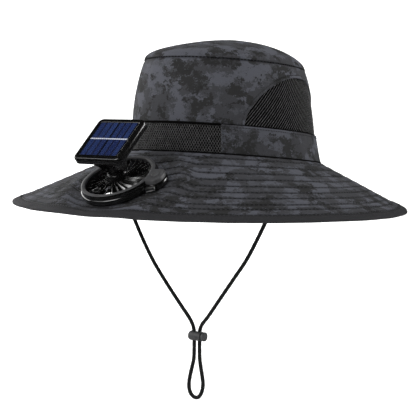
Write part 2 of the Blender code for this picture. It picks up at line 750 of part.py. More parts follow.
def blade_set():
    """Flat pitched blades, each from inside the hub to the tip."""
    root = HUB_RADIUS - 0.0025
    middle = (ROTOR_TOP + ROTOR_BOTTOM) / 2
    corners = [(along, chord, thick) for along in (root, BLADE_TIP)
               for chord in (-BLADE_CHORD / 2, BLADE_CHORD / 2)
               for thick in (-BLADE_THICK / 2, BLADE_THICK / 2)]
    block_faces = [(0, 1, 3, 2), (4, 6, 7, 5), (0, 4, 5, 1), (2, 3, 7, 6), (0, 2, 6, 4), (1, 5, 7, 3)]
    points, faces = [], []
    for index in range(BLADE_COUNT):
        base = len(points)
        turn = Matrix.Rotation(2.0 * math.pi * index / BLADE_COUNT, 3, "Z")
        for along, chord, thick in corners:
            narrowed = chord * (0.62 if along == root else 1.0)
            tilted = Matrix.Rotation(BLADE_PITCH, 3, "X") @ Matrix.Identity(3)
            local = tilted.col[1] * narrowed + tilted.col[2] * thick
            points.append(turn @ (local + Matrix.Identity(3).col[0] * along
                                  + Matrix.Identity(3).col[2] * middle))
        faces.extend(tuple(base + corner for corner in face) for face in block_faces)
    tool = mesh_object("blade_set", points, faces, None, CUTTERS)
    recalculate_outward(tool)
    return tool


def make_fan_retainer():
    """Plain ring round the tube under the brim."""
    inner = TUBE_RADIUS + TUBE_WALL + GAP
    high = -BRIM_THICK - 2 * GAP
    low = high - RETAINER_THICK
    ring = turned("fan_retainer", [(inner, high), (FLANGE_RADIUS - 0.001, high),
                                   (FLANGE_RADIUS - 0.001, low + 0.0008), (FLANGE_RADIUS - 0.0018, low),
                                   (inner, low)], BLACK_GLOSS)
    place_under(FAN_SEAT, ring)
    return finished(ring)


NECK_TURN = frame_empty("neck_turn", FAN_FRAME)
PANEL_FRAME_MATRIX = (FAN_FRAME @ Matrix.Translation((0.0, 0.0, PIVOT_RISE))
                      @ Matrix.Rotation(PANEL_TILT - FAN_TILT, 4, "X"))
PANEL_HINGE = frame_empty("panel_hinge", PANEL_FRAME_MATRIX)
LIE_ALONG_X = (0.0, math.pi / 2, 0.0)


def make_panel_neck():
    """Swivel post on the hub with the tilt knuckle and its pin."""
    foot = HUB_TOP + GAP
    neck = turned("panel_neck", [
        (0.0, PIVOT_RISE), (NECK_RADIUS, PIVOT_RISE), (NECK_RADIUS, foot + NECK_FOOT_THICK),
        (NECK_FOOT_RADIUS, foot + NECK_FOOT_THICK), (NECK_FOOT_RADIUS, foot), (0.0, foot)],
        BLACK_GLOSS, FINE_STEPS)
    knuckle = turned("neck_knuckle", [
        (0.0, BRACKET_HALF), (PIN_RADIUS, BRACKET_HALF), (PIN_RADIUS, KNUCKLE_HALF),
        (KNUCKLE_RADIUS, KNUCKLE_HALF), (KNUCKLE_RADIUS, -KNUCKLE_HALF), (PIN_RADIUS, -KNUCKLE_HALF),
        (PIN_RADIUS, -BRACKET_HALF), (0.0, -BRACKET_HALF)], None, FINE_STEPS, CUTTERS)
    knuckle.location = (0.0, 0.0, PIVOT_RISE)
    knuckle.rotation_euler = LIE_ALONG_X
    trim = 1.1 * NECK_RADIUS
    sides = [box(f"neck_trim_{sign}", (min(sign * KNUCKLE_HALF, sign * trim * 2), -trim, PIVOT_RISE - trim),
                 (max(sign * KNUCKLE_HALF, sign * trim * 2), trim, PIVOT_RISE + trim)) for sign in (1, -1)]
    place_under(NECK_TURN, neck, knuckle, *sides)
    for side in sides:
        boolean(neck, side, "DIFFERENCE")
    boolean(neck, knuckle, "UNION")
    return finished(neck)


PANEL_UNDER = PANEL_TOP - PANEL_THICK


def make_panel_bracket():
    """Plate under the panel with two ears that reach down to the tilt pin."""
    plate_top = PANEL_UNDER - GAP
    plate_low = plate_top - BRACKET_PLATE
    arc = np.linspace(math.radians(200.0), math.radians(340.0), 7)
    profile = [(EYE_RADIUS * math.cos(angle), EYE_RADIUS * math.sin(angle)) for angle in arc]
    profile += [(BRACKET_REAR, plate_low), (BRACKET_REAR, plate_top),
                (-BRACKET_FRONT, plate_top), (-BRACKET_FRONT, plate_low)]
    count = len(profile)
    points = [(side, y, z) for side in (-BRACKET_HALF, BRACKET_HALF) for y, z in profile]
    faces = [tuple(range(count)), tuple(range(2 * count - 1, count - 1, -1))]
    for index in range(count):
        after = (index + 1) % count
        faces.append((index, index + count, after + count, after))
    bracket = mesh_object("panel_bracket", points, faces, BLACK_GLOSS)
    recalculate_outward(bracket)
    slot_half = KNUCKLE_HALF + 2 * GAP
    reach = EYE_RADIUS + 0.003
    slot = box("bracket_slot", (-slot_half, -2 * reach, -2 * reach),
               (slot_half, 3 * reach, plate_low))
    bore = turned("pin_bore", [(0.0, CUT_REACH), (PIN_RADIUS + GAP, CUT_REACH),
                               (PIN_RADIUS + GAP, -CUT_REACH), (0.0, -CUT_REACH)], None, FINE_STEPS, CUTTERS)
    bore.rotation_euler = LIE_ALONG_X
    place_under(PANEL_HINGE, bracket, slot, bore)
    boolean(bracket, slot, "DIFFERENCE")
    boolean(bracket, bore, "DIFFERENCE")
    return finished(bracket)


def rounded_rectangle(width, length, corner, steps=4):
    """Outline points of a rectangle with round corners, in order round it."""
    points = []
    for quarter, (sx, sy) in enumerate(((1, 1), (-1, 1), (-1, -1), (1, -1))):
        for step in range(steps + 1):
            angle = math.pi / 2 * (quarter + step / steps)
            points.append((sx * (width / 2 - corner) + corner * math.cos(angle),
                           sy * (length / 2 - corner) + corner * math.sin(angle)))
    return points


def stacked(name, layers, finish):
    """Solid through a stack of outlines, each a list of (x, y) at its height, capped at both ends."""
    count = len(layers[0][0])
    points = [(x, y + PANEL_SHIFT, height) for outline, height in layers for x, y in outline]
    faces = grid_faces(len(layers), count, True)
    faces.append(tuple(range(count - 1, -1, -1)))
    faces.append(tuple((len(layers) - 1) * count + index for index in range(count)))
    made = mesh_object(name, points, faces, finish)
    recalculate_outward(made)
    place_under(PANEL_HINGE, made)
    return finished(made, 30.0)


def panel_outline(inset):
    corner = max(PANEL_CORNER - inset, 0.0006)
    return rounded_rectangle(PANEL_WIDTH - 2 * inset, PANEL_LENGTH - 2 * inset, corner)


def make_panel_frame():
    """Shallow tray with round corners and a bevelled edge, whose recess holds the cells."""
    edge = 0.0011
    return stacked("panel_frame", [
        (panel_outline(0.0016), PANEL_UNDER), (panel_outline(0.0), PANEL_UNDER + 0.0016),
        (panel_outline(0.0), PANEL_TOP - edge), (panel_outline(edge), PANEL_TOP),
        (panel_outline(PANEL_BORDER), PANEL_TOP), (panel_outline(PANEL_BORDER), PANEL_TOP - PANEL_RECESS)],
        BLACK_GLOSS)


def make_panel_cells():
    inset = PANEL_BORDER + GAP
    low = PANEL_TOP - PANEL_RECESS + GAP
    return stacked("panel_cells", [(panel_outline(inset), low), (panel_outline(inset), low + 0.0005)],
                   CELL_FINISH)


def cord_curve_points():
    """Even points along a smooth curve through the route."""
    route = np.array(CORD_ROUTE)
    padded = np.concatenate([[2 * route[0] - route[1]], route, [2 * route[-1] - route[-2]]])
    dense = []
    for index in range(1, len(padded) - 2):
        part = np.linspace(0.0, 1.0, 24, endpoint=False)[:, None]
        a, b, c, d = padded[index - 1:index + 3]
        dense.append(0.5 * (2 * b + (c - a) * part + (2 * a - 5 * b + 4 * c - d) * part ** 2
                            + (3 * b - a - 3 * c + d) * part ** 3))
    dense = np.concatenate(dense + [route[-1:]])
    run = np.concatenate([[0.0], np.cumsum(np.linalg.norm(np.diff(dense, axis=0), axis=1))])
    even = np.linspace(0.0, run[-1], CORD_POINTS)
    return np.stack([np.interp(even, run, dense[:, axis]) for axis in range(3)], axis=1)


def make_chin_cord():
    points = cord_curve_points()
    curve = bpy.data.curves.new("chin_cord", "CURVE")
    curve.dimensions = "3D"
    curve.bevel_depth = CORD_DIAMETER / 2
    curve.bevel_resolution = 2
    curve.use_fill_caps = True
    spline = curve.splines.new("POLY")
    spline.points.add(len(points) - 1)
    for place, point in zip(spline.points, points):
        place.co = (*map(float, point), 1.0)
    cord = bpy.data.objects.new("chin_cord", curve)
    curve.materials.append(CORD_FINISH)
    PARTS.objects.link(cord)
    return cord


LOCK_SEAT = frame_empty("lock_seat", Matrix.Translation(LOCK_CENTRE) @ Matrix.Rotation(math.pi / 2, 4, "Y"))
STEM_RADIUS = LOCK_BORE - GAP
HEAD_START = LOCK_END + LOCK_TRAVEL + GAP
CORD_X = (min(point[0] for point in CORD_ROUTE if abs(point[2] - LOCK_CENTRE[2]) < FLOAT_GUARD),
          max(point[0] for point in CORD_ROUTE if abs(point[2] - LOCK_CENTRE[2]) < FLOAT_GUARD))


def cord_slot(name, slack):
    """Upright slot for the two runs of the cord, along the lock's axis, with slack at its front end."""
    low = CORD_X[0] - CORD_DIAMETER / 2 - 2 * GAP
    high = CORD_X[1] + CORD_DIAMETER / 2 + 2 * GAP
    tall = 3 * LOCK_RADIUS
    return box(name, (-tall, -LOCK_SLOT / 2, low), (tall, LOCK_SLOT / 2, high + slack))


def make_toggle_barrel():
    """Barrel with a blind bore for the plunger and an upright slot for the cord."""
    barrel = turned("toggle_barrel", [
        (0.0, LOCK_END), (LOCK_RADIUS - 0.0003, LOCK_END), (LOCK_RADIUS, LOCK_END - 0.0004),
        (LOCK_RADIUS, LOCK_START + 0.0018), (LOCK_RADIUS - 0.0007, LOCK_START + 0.0006),
        (LOCK_RADIUS - 0.0019, LOCK_START), (0.0, LOCK_START)], BLACK_GLOSS, FINE_STEPS)
    bore = turned("lock_bore", [(0.0, CUT_REACH), (LOCK_BORE, CUT_REACH), (LOCK_BORE, LOCK_START + LOCK_FLOOR),
                                (0.0, LOCK_START + LOCK_FLOOR)], None, FINE_STEPS, CUTTERS)
    slot = cord_slot("barrel_slot", 0.0)
    place_under(LOCK_SEAT, barrel, bore, slot)
    boolean(barrel, bore, "DIFFERENCE")
    boolean(barrel, slot, "DIFFERENCE")
    return finished(barrel)


def make_toggle_plunger():
    """Push head and its stem, slotted so that the cord stays clear as it goes in."""
    stem_start = LOCK_START + LOCK_FLOOR + LOCK_TRAVEL + GAP
    head_end = HEAD_START + HEAD_THICK
    plunger = turned("toggle_plunger", [
        (0.0, head_end), (HEAD_RADIUS - 0.0007, head_end), (HEAD_RADIUS, head_end - 0.0007),
        (HEAD_RADIUS, HEAD_START), (STEM_RADIUS, HEAD_START), (STEM_RADIUS, stem_start),
        (0.0, stem_start)], BLACK_GLOSS, FINE_STEPS)
    slot = cord_slot("plunger_slot", LOCK_TRAVEL)
    place_under(LOCK_SEAT, plunger, slot)
    boolean(plunger, slot, "DIFFERENCE")
    return finished(plunger)


make_crown_side()
make_crown_top()
make_vent("vent_left", 1)
make_vent("vent_right", -1)
make_band("band_mesh", -MESH_HALF_ANGLE, MESH_HALF_ANGLE, 11, NET_FINISH)
SEAM_ANGLE = 2 * GAP / OPENING_HALF_LENGTH
make_band("band_cloth", MESH_HALF_ANGLE + SEAM_ANGLE, 2 * math.pi - MESH_HALF_ANGLE - SEAM_ANGLE, 39,
          CLOTH_FINISH)
make_brim()
make_binding()
make_anchor("cord_anchor_left", 1)
make_anchor("cord_anchor_right", -1)
make_fan_base()
make_charge_port()
make_fan_ring()
make_power_button()
make_fan_grille()
make_fan_impeller()
make_fan_retainer()
make_panel_neck()
make_panel_bracket()
make_panel_frame()
make_panel_cells()
make_chin_cord()
make_toggle_barrel()
make_toggle_plunger()
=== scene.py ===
"""Camouflage sun hat with a fan, a solar panel and a chin cord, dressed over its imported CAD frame."""
import math

import bmesh
import bpy
import numpy as np
from mathutils import Matrix, Vector


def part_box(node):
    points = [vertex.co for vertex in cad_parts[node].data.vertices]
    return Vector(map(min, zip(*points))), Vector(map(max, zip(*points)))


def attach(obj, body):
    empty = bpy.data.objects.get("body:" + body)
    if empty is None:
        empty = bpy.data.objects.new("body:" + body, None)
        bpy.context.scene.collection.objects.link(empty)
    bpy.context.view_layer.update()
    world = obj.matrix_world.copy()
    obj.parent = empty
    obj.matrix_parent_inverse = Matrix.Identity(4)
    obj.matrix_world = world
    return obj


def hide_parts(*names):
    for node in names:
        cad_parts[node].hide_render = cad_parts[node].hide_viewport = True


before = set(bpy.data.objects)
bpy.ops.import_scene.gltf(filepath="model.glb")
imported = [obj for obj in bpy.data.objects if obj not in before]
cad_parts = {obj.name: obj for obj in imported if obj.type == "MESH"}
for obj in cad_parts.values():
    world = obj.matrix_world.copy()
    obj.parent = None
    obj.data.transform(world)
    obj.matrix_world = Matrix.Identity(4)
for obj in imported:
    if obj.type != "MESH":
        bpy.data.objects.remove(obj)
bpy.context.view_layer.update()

# Sizes in metres, the same as the CAD part's
OPENING_HALF_WIDTH, OPENING_HALF_LENGTH = 0.0874, 0.1013
SEAM_HEIGHT, DOME_LIP, DOME_RISE = 0.0867, 0.0012, 0.0233
RING_SLOPE, CROWN_LEAN, CROWN_BULGE = 0.100, 0.0016, 0.0016
CLOTH = 0.0015
BAND_HEIGHT, BAND_THICK, BAND_STEP = 0.0256, 0.0018, 0.0010
MESH_HALF_ANGLE = math.radians(38.0)
CROWN_RINGS = np.array([(0.000, 1.000, 1.0000, 0.0, 1.01),
                        (0.295, 0.944, 0.9585, 0.3, 1.10),
                        (1.000, 0.816, 0.8315, 1.0, 0.89)])
VENT_MIDDLE, VENT_HALF_ANGLE = math.radians(100.0), math.radians(48.5)
VENT_RISE, VENT_FOOT, VENT_POINTEDNESS = 0.0495, 0.0012, 0.65
BRIM_HALF_SPAN, BRIM_DROP, BRIM_THICK = 0.1865, 0.0450, 0.0024
BINDING_EDGE = 0.0016
BRIM_EDGE = np.array([(1.072, 0.933), (1.072, 0.944), (1.056, 0.960), (1.000, 1.000),
                      (0.903, 1.009), (0.831, 0.996), (0.804, 0.989)])
FAN_REACH, FAN_FLAT, FAN_BLEND = 0.1525, 0.047, 0.070
FLANGE_RADIUS, FLANGE_TOP = 0.0350, 0.0056
TUBE_RADIUS, TUBE_WALL, TUBE_DEPTH = 0.0275, 0.0011, 0.0090
RING_RADIUS, RING_HOLE, RING_HEIGHT = 0.0337, 0.0290, 0.0037
EAR_CENTRE, EAR_RADIUS, EAR_SKIRT = (0.0355, 0.0042), 0.0095, 0.0010
BUTTON_OUT, BUTTON_RADIUS, BUTTON_PROUD, BUTTON_TRAVEL = 0.0378, 0.0036, 0.0006, 0.0008
HUB_RADIUS, HUB_TOP = 0.0105, 0.0135
GUARD_DIP = 0.0026
VANE_COUNT, VANE_SWEEP = 28, math.radians(24.0)
BLADE_COUNT, BLADE_TIP = 7, 0.0262
PORT_PLACE, PORT_TURN = (0.0383, -0.0074), math.radians(28.0)
PIVOT_RISE, PANEL_TILT = 0.0205, math.radians(42.0)
PANEL_WIDTH, PANEL_LENGTH, PANEL_THICK = 0.0515, 0.0500, 0.0075
PANEL_TOP, PANEL_SHIFT, PANEL_CORNER = 0.0210, 0.0101, 0.0050
PANEL_BORDER, PANEL_RECESS = 0.0050, 0.0009
CORD_DIAMETER = 0.0034
LOCK_CENTRE = (0.0, -0.0430, -0.1657)
LOCK_RADIUS, LOCK_START, LOCK_END = 0.0046, -0.0093, 0.0049
LOCK_SLOT, LOCK_TRAVEL = 0.0041, 0.0012
HEAD_THICK, HEAD_RADIUS = 0.0024, 0.0044
ANCHOR_PLACE, ANCHOR_SIZE, ANCHOR_FOOT = (0.0905, -0.0370), 0.0090, -0.0110
GAP = 0.0003
WALL_RADIUS, BAND_RADIUS, CLOTH_RADIUS = 0.088, 0.0945, 0.086    # for opening the crown's wall flat
VENT_HALF_WIDTH = VENT_HALF_ANGLE * WALL_RADIUS
NET_PITCH = 0.00215
CAMERA_ROUND, CAMERA_ABOVE, CAMERA_AWAY = math.radians(35.374), math.radians(2.962), 1.200
FLOOR = -0.2290
BRIM_UV_DEPTH = 0.1
RING_BOTTOM = FLANGE_TOP + GAP
RING_TOP = RING_BOTTOM + RING_HEIGHT
GUARD_RIM = RING_HOLE - 2 * GAP
GUARD_UNDER = RING_BOTTOM - GUARD_DIP

# Places of the brim's stitched rows, as shares of the way from the crown to the edge
STITCH_ROWS = (0.069, 0.182, 0.302, 0.402, 0.505, 0.595, 0.680, 0.776, 0.845, 0.925)
MM = 0.001

CORD_ROUTE = (
    (-0.0905, -0.0370, -0.0114), (-0.0904, -0.0370, -0.0200), (-0.0890, -0.0376, -0.0350),
    (-0.0853, -0.0386, -0.0480), (-0.0787, -0.0395, -0.0606), (-0.0673, -0.0402, -0.0800),
    (-0.0547, -0.0408, -0.0989), (-0.0392, -0.0415, -0.1176), (-0.0223, -0.0421, -0.1363),
    (-0.0105, -0.0426, -0.1489), (-0.0064, -0.0429, -0.1545), (-0.0044, -0.0430, -0.1597),
    (-0.0040, -0.0430, -0.1657), (-0.0041, -0.0430, -0.1780), (-0.0045, -0.0430, -0.1875),
    (-0.0066, -0.0430, -0.1960), (-0.0090, -0.0430, -0.2050), (-0.0103, -0.0430, -0.2133),
    (-0.0091, -0.0430, -0.2200), (-0.0057, -0.0430, -0.2238), (-0.0019, -0.0430, -0.2248),
    (0.0020, -0.0430, -0.2230), (0.0050, -0.0430, -0.2177), (0.0062, -0.0430, -0.2105),
    (0.0050, -0.0430, -0.2020), (0.0033, -0.0430, -0.1930), (0.0023, -0.0430, -0.1850),
    (0.0023, -0.0430, -0.1657), (0.0027, -0.0430, -0.1597), (0.0046, -0.0429, -0.1550),
    (0.0077, -0.0428, -0.1509), (0.0120, -0.0426, -0.1459), (0.0240, -0.0421, -0.1298),
    (0.0393, -0.0414, -0.1093), (0.0537, -0.0408, -0.0898), (0.0648, -0.0402, -0.0707),
    (0.0733, -0.0396, -0.0546), (0.0815, -0.0386, -0.0380), (0.0875, -0.0376, -0.0240),
    (0.0902, -0.0371, -0.0160), (0.0905, -0.0370, -0.0114),
)


def photo_camera():
    """Camera 1.2 m away, 35 degrees round from the front, turned so that the crown's foot centre
    falls where the photograph has it."""
    image, focal = 416.0, 1256.4
    foot_pixel = (224.34, 157.62)
    out = Vector((math.sin(CAMERA_ROUND) * math.cos(CAMERA_ABOVE),
                  -math.cos(CAMERA_ROUND) * math.cos(CAMERA_ABOVE), math.sin(CAMERA_ABOVE)))
    side = Vector((math.cos(CAMERA_ROUND), math.sin(CAMERA_ROUND), 0.0))
    rise = side.cross(-out)
    yaw = math.atan((foot_pixel[0] - image / 2) / focal)
    pitch = math.atan((image / 2 - foot_pixel[1]) / focal)
    forward = (-out * math.cos(yaw) * math.cos(pitch) - side * math.sin(yaw) * math.cos(pitch)
               - rise * math.sin(pitch)).normalized()
    right = forward.cross(Vector((0.0, 0.0, 1.0))).normalized()
    up = right.cross(forward)
    data = bpy.data.cameras.new("photo_camera")
    data.sensor_width = 36.0
    data.lens = focal / image * data.sensor_width
    data.clip_end = 20.0
    camera = bpy.data.objects.new("photo_camera", data)
    turn = Matrix((right, up, -forward)).transposed().to_4x4()
    camera.matrix_world = Matrix.Translation(out * CAMERA_AWAY) @ turn
    bpy.context.scene.collection.objects.link(camera)
    bpy.context.scene.camera = camera


# Materials

class Nodes:
    """A material's node tree, with short calls for the nodes that its patterns need."""

    def __init__(self, name, colour, roughness, **sockets):
        self.material = bpy.data.materials.new(name)
        self.material.use_nodes = True
        self.tree = self.material.node_tree
        self.shader = self.tree.nodes["Principled BSDF"]
        self.shader.inputs["Base Color"].default_value = (*colour, 1.0)
        self.shader.inputs["Roughness"].default_value = roughness
        for socket, value in sockets.items():
            self.shader.inputs[socket.replace("_", " ")].default_value = value
        self.place = self.tree.nodes.new("ShaderNodeTexCoord")

    def link(self, source, target):
        """Joins an output to an input."""
        self.tree.links.new(source, target)

    def node(self, kind, **settings):
        """Adds a node and sets its own settings."""
        made = self.tree.nodes.new(kind)
        for setting, value in settings.items():
            setattr(made, setting, value)
        return made

    def put(self, socket, value):
        """Links an output, or sets a number."""
        if hasattr(value, "is_output"):
            self.link(value, socket)
        else:
            socket.default_value = value

    def mapped(self, scale=(1, 1, 1), source="Object"):
        """Place on the piece, in its own metres or its UV, each axis times its scale."""
        node = self.node("ShaderNodeMapping")
        self.link(self.place.outputs[source], node.inputs["Vector"])
        node.inputs["Scale"].default_value = scale
        return node.outputs["Vector"]

    def flat_place(self):
        """The piece's UV as two numbers."""
        split = self.node("ShaderNodeSeparateXYZ")
        self.link(self.place.outputs["UV"], split.inputs[0])
        return split.outputs[0], split.outputs[1]

    def noise(self, vector, scale, detail=2.0, roughness=0.5, colour=False):
        """Layered noise: scale is features in a metre, detail its finer layers."""
        node = self.node("ShaderNodeTexNoise")
        self.link(vector, node.inputs["Vector"])
        for socket, value in (("Scale", scale), ("Detail", detail), ("Roughness", roughness)):
            node.inputs[socket].default_value = value
        return node.outputs["Color" if colour else "Fac"]

    def math(self, operation, first, second=0.0, third=0.0):
        """One sum on outputs or numbers."""
        node = self.node("ShaderNodeMath", operation=operation)
        for socket, value in zip(node.inputs, (first, second, third)):
            self.put(socket, value)
        return node.outputs[0]

    def ramp(self, factor, stops):
        """Even colour ramp through (place, grey or colour) stops."""
        node = self.node("ShaderNodeValToRGB")
        band = node.color_ramp
        while len(band.elements) < len(stops):
            band.elements.new(1.0)
        for element, (place, shade) in zip(band.elements, stops):
            element.position = place
            shade = (shade, shade, shade) if isinstance(shade, (int, float)) else shade
            element.color = (*shade, 1.0)
        self.link(factor, node.inputs["Fac"])
        return node.outputs["Color"]

    def mix(self, factor, first, second, blend="MIX"):
        """First colour at factor 0, second at 1; each is an output or a colour."""
        node = self.node("ShaderNodeMix", data_type="RGBA", blend_type=blend)
        self.put(node.inputs[0], factor)
        self.put(node.inputs[6], first if hasattr(first, "is_output") else (*first, 1.0))
        self.put(node.inputs[7], second if hasattr(second, "is_output") else (*second, 1.0))
        return node.outputs[2]

    def colour(self, value):
        """Sends an output to the shader's base colour."""
        self.link(value, self.shader.inputs["Base Color"])

    def roughness(self, value, low, high):
        """Spreads an output of 0 to 1 over a range of roughness."""
        node = self.node("ShaderNodeMapRange")
        self.link(value, node.inputs["Value"])
        node.inputs["To Min"].default_value = low
        node.inputs["To Max"].default_value = high
        self.link(node.outputs["Result"], self.shader.inputs["Roughness"])

    def bump(self, *layers):
        """Chains (height, strength, distance) layers into the shader's normal."""
        normal = None
        for height, strength, distance in layers:
            node = self.node("ShaderNodeBump")
            node.inputs["Strength"].default_value = strength
            node.inputs["Distance"].default_value = distance
            self.link(height, node.inputs["Height"])
            if normal:
                self.link(normal, node.inputs["Normal"])
            normal = node.outputs["Normal"]
        self.link(normal, self.shader.inputs["Normal"])

    def weave(self, across, along):
        """Plain weave from the piece's own UV in metres: product of two sines."""
        x, y = self.flat_place()
        first = self.math("SINE", self.math("MULTIPLY", x, 2 * math.pi / across))
        second = self.math("SINE", self.math("MULTIPLY", y, 2 * math.pi / along))
        return self.math("MULTIPLY", first, second)


def camouflage_cloth():
    """Greys in ragged blotches about 20 mm across, on a fine plain weave, with painted shade darkening the
    brim's stitched valleys.
    """
    cloth = Nodes("camouflage_cloth", (0.04, 0.04, 0.045), 0.85, Specular_IOR_Level=0.16)
    base = cloth.mapped(scale=(1.0, 1.0, 1.3))
    wander = cloth.noise(base, 230.0, 3.0, 0.7, colour=True)
    place = cloth.node("ShaderNodeMix", data_type="VECTOR")
    place.inputs[0].default_value = 0.014
    cloth.link(base, place.inputs[4])
    cloth.link(wander, place.inputs[5])

    def patches(move, scale, low, soft):
        """1 inside ragged blotches: a layered noise of the shifted place, cut off at a level."""
        shifted = cloth.node("ShaderNodeVectorMath", operation="ADD")
        cloth.link(place.outputs[1], shifted.inputs[0])
        shifted.inputs[1].default_value = move
        layered = cloth.noise(shifted.outputs[0], scale, 5.0, 0.60)
        return cloth.ramp(layered, [(low, 0.0), (low + soft, 1.0)])

    tone = cloth.mix(patches((0.0, 0.0, 0.0), 42.0, 0.460, 0.006), (0.0285, 0.0285, 0.0290),
                     (0.0500, 0.0505, 0.0560))
    tone = cloth.mix(patches((3.1, 7.7, 1.9), 46.0, 0.530, 0.010), tone, (0.0870, 0.0900, 0.1060))
    tone = cloth.mix(patches((8.3, 2.2, 5.4), 70.0, 0.590, 0.006), tone, (0.0240, 0.0240, 0.0245))
    tone = cloth.mix(patches((1.3, 4.2, 9.4), 95.0, 0.595, 0.008), tone, (0.0700, 0.0720, 0.0830))
    grain = cloth.noise(cloth.mapped(source="UV"), 900.0, 2.0, 0.6)
    tone = cloth.mix(0.5, tone, cloth.ramp(grain, [(0.25, 0.6), (0.75, 1.0)]), "MULTIPLY")
    # Painted shade: where a piece carries the row attribute (the brim), its stitched valleys are darkened
    # down to a fifth; elsewhere the attribute reads 0.
    painted_valley_shade = cloth.node("ShaderNodeAttribute", attribute_name="painted_valley_shade")
    shade = cloth.ramp(painted_valley_shade.outputs["Fac"], [(0.0, 1.0), (1.0, 0.20)])
    cloth.colour(cloth.mix(1.0, tone, shade, "MULTIPLY"))
    cloth.roughness(grain, 0.74, 0.94)
    weave = cloth.weave(0.0011, 0.0011)
    creases = cloth.noise(cloth.mapped(scale=(1.0, 1.0, 0.6)), 60.0, 3.0, 0.5)
    cloth.bump((weave, 0.35, 0.00010), (grain, 0.35, 0.00018), (creases, 0.55, 0.0022))
    return cloth.material


def binding_tape():
    """Plain grosgrain tape with fine ribs across it."""
    tape = Nodes("binding_tape", (0.028, 0.028, 0.030), 0.80, Specular_IOR_Level=0.18)
    rib_pitch = 1.2 * MM
    ribs = tape.math("SINE", tape.math("MULTIPLY", tape.flat_place()[0], 2 * math.pi / rib_pitch))
    fluff = tape.noise(tape.mapped(source="UV"), 700.0, 3.0, 0.6)
    tone = tape.ramp(fluff, [(0.3, (0.018, 0.018, 0.019)), (0.75, (0.036, 0.036, 0.040))])
    tape.colour(tape.mix(0.6, tone, (0.027, 0.027, 0.029)))
    tape.roughness(fluff, 0.68, 0.88)
    tape.bump((ribs, 0.5, 0.00012), (fluff, 0.4, 0.00015))
    return tape.material


def thread(name, colour):
    """Twisted sewing thread with a slight shine."""
    made = Nodes(name, colour, 0.5, Specular_IOR_Level=0.3)
    twist = made.noise(made.mapped(), 2600.0, 1.0, 0.5)
    lighter = tuple(1.5 * value for value in colour)
    made.colour(made.ramp(twist, [(0.35, colour), (0.7, lighter)]))
    made.bump((twist, 0.5, 0.0001))
    return made.material


def net_shade_backing():
    """Painted shade: near black sheet behind the nets that stands for the shaded inside of the hat seen
    through them, mottled as if by their holes.
    """
    net = Nodes("net_shade_backing", (0.004, 0.004, 0.004), 0.9, Specular_IOR_Level=0.05)
    holes = net.noise(net.mapped(), 1400.0, 1.0, 0.5)
    net.colour(net.ramp(holes, [(0.35, 0.0015), (0.7, 0.0045)]))
    net.bump((holes, 0.6, 0.0003))
    return net.material


def net_strand():
    """Polyester strand: dark grey with a soft shine."""
    net = Nodes("net_strand", (0.05, 0.05, 0.05), 0.38, Specular_IOR_Level=0.55)
    shade = net.noise(net.mapped(), 300.0, 2.0, 0.6)
    net.colour(net.ramp(shade, [(0.3, (0.034, 0.034, 0.034)), (0.7, (0.115, 0.115, 0.115))]))
    net.roughness(shade, 0.35, 0.6)
    net.bump((net.noise(net.mapped(), 2500.0, 1.0, 0.5), 0.4, 0.0001))
    return net.material


def gloss_plastic():
    """Black moulding, polished, with faint smears and hairline wear."""
    gloss = Nodes("gloss_black_plastic", (0.0045, 0.0045, 0.005), 0.14, IOR=1.60, Coat_Weight=0.50,
                  Coat_Roughness=0.05)
    smear = gloss.noise(gloss.mapped(scale=(1.0, 3.0, 1.0)), 120.0, 3.0, 0.6)
    gloss.colour(gloss.ramp(smear, [(0.3, 0.0035), (0.75, 0.0070)]))
    gloss.roughness(smear, 0.09, 0.24)
    gloss.bump((gloss.noise(gloss.mapped(), 420.0, 2.0, 0.5), 0.10, 0.0002))
    return gloss.material


def satin_plastic():
    """Dark grey moulding with a fine spark-eroded grain."""
    satin = Nodes("satin_grey_plastic", (0.05, 0.05, 0.052), 0.42, IOR=1.5)
    grain = satin.noise(satin.mapped(), 2200.0, 2.0, 0.6)
    wide = satin.noise(satin.mapped(), 90.0, 2.0, 0.5)
    satin.colour(satin.ramp(wide, [(0.3, (0.046, 0.046, 0.048)), (0.7, (0.068, 0.068, 0.071))]))
    satin.roughness(wide, 0.34, 0.48)
    satin.bump((grain, 0.25, 0.00006))
    return satin.material


def dull_plastic():
    """Unpolished black moulding for the parts inside the fan."""
    dull = Nodes("dull_black_plastic", (0.004, 0.004, 0.004), 0.6, Specular_IOR_Level=0.25)
    mottle = dull.noise(dull.mapped(), 200.0, 2.0, 0.5)
    dull.colour(dull.ramp(mottle, [(0.3, 0.003), (0.7, 0.006)]))
    dull.roughness(mottle, 0.5, 0.7)
    dull.bump((mottle, 0.1, 0.0001))
    return dull.material


def guard_plastic():
    """Black moulding of the guard, a little softer in its shine than the housing."""
    soft = Nodes("guard_black_plastic", (0.004, 0.004, 0.0045), 0.24, IOR=1.8)
    smear = soft.noise(soft.mapped(), 260.0, 3.0, 0.6)
    soft.colour(soft.ramp(smear, [(0.3, 0.003), (0.75, 0.006)]))
    soft.roughness(smear, 0.20, 0.27)
    soft.bump((smear, 0.02, 0.0002))
    return soft.material


def socket_metal():
    """Bright pressed metal with fine draw marks."""
    metal = Nodes("socket_metal", (0.55, 0.55, 0.57), 0.28, Metallic=1.0)
    marks = metal.noise(metal.mapped(scale=(1.0, 1.0, 6.0)), 900.0, 2.0, 0.6)
    metal.colour(metal.ramp(marks, [(0.3, 0.42), (0.7, 0.66)]))
    metal.roughness(marks, 0.2, 0.4)
    metal.bump((marks, 0.2, 0.00005))
    return metal.material


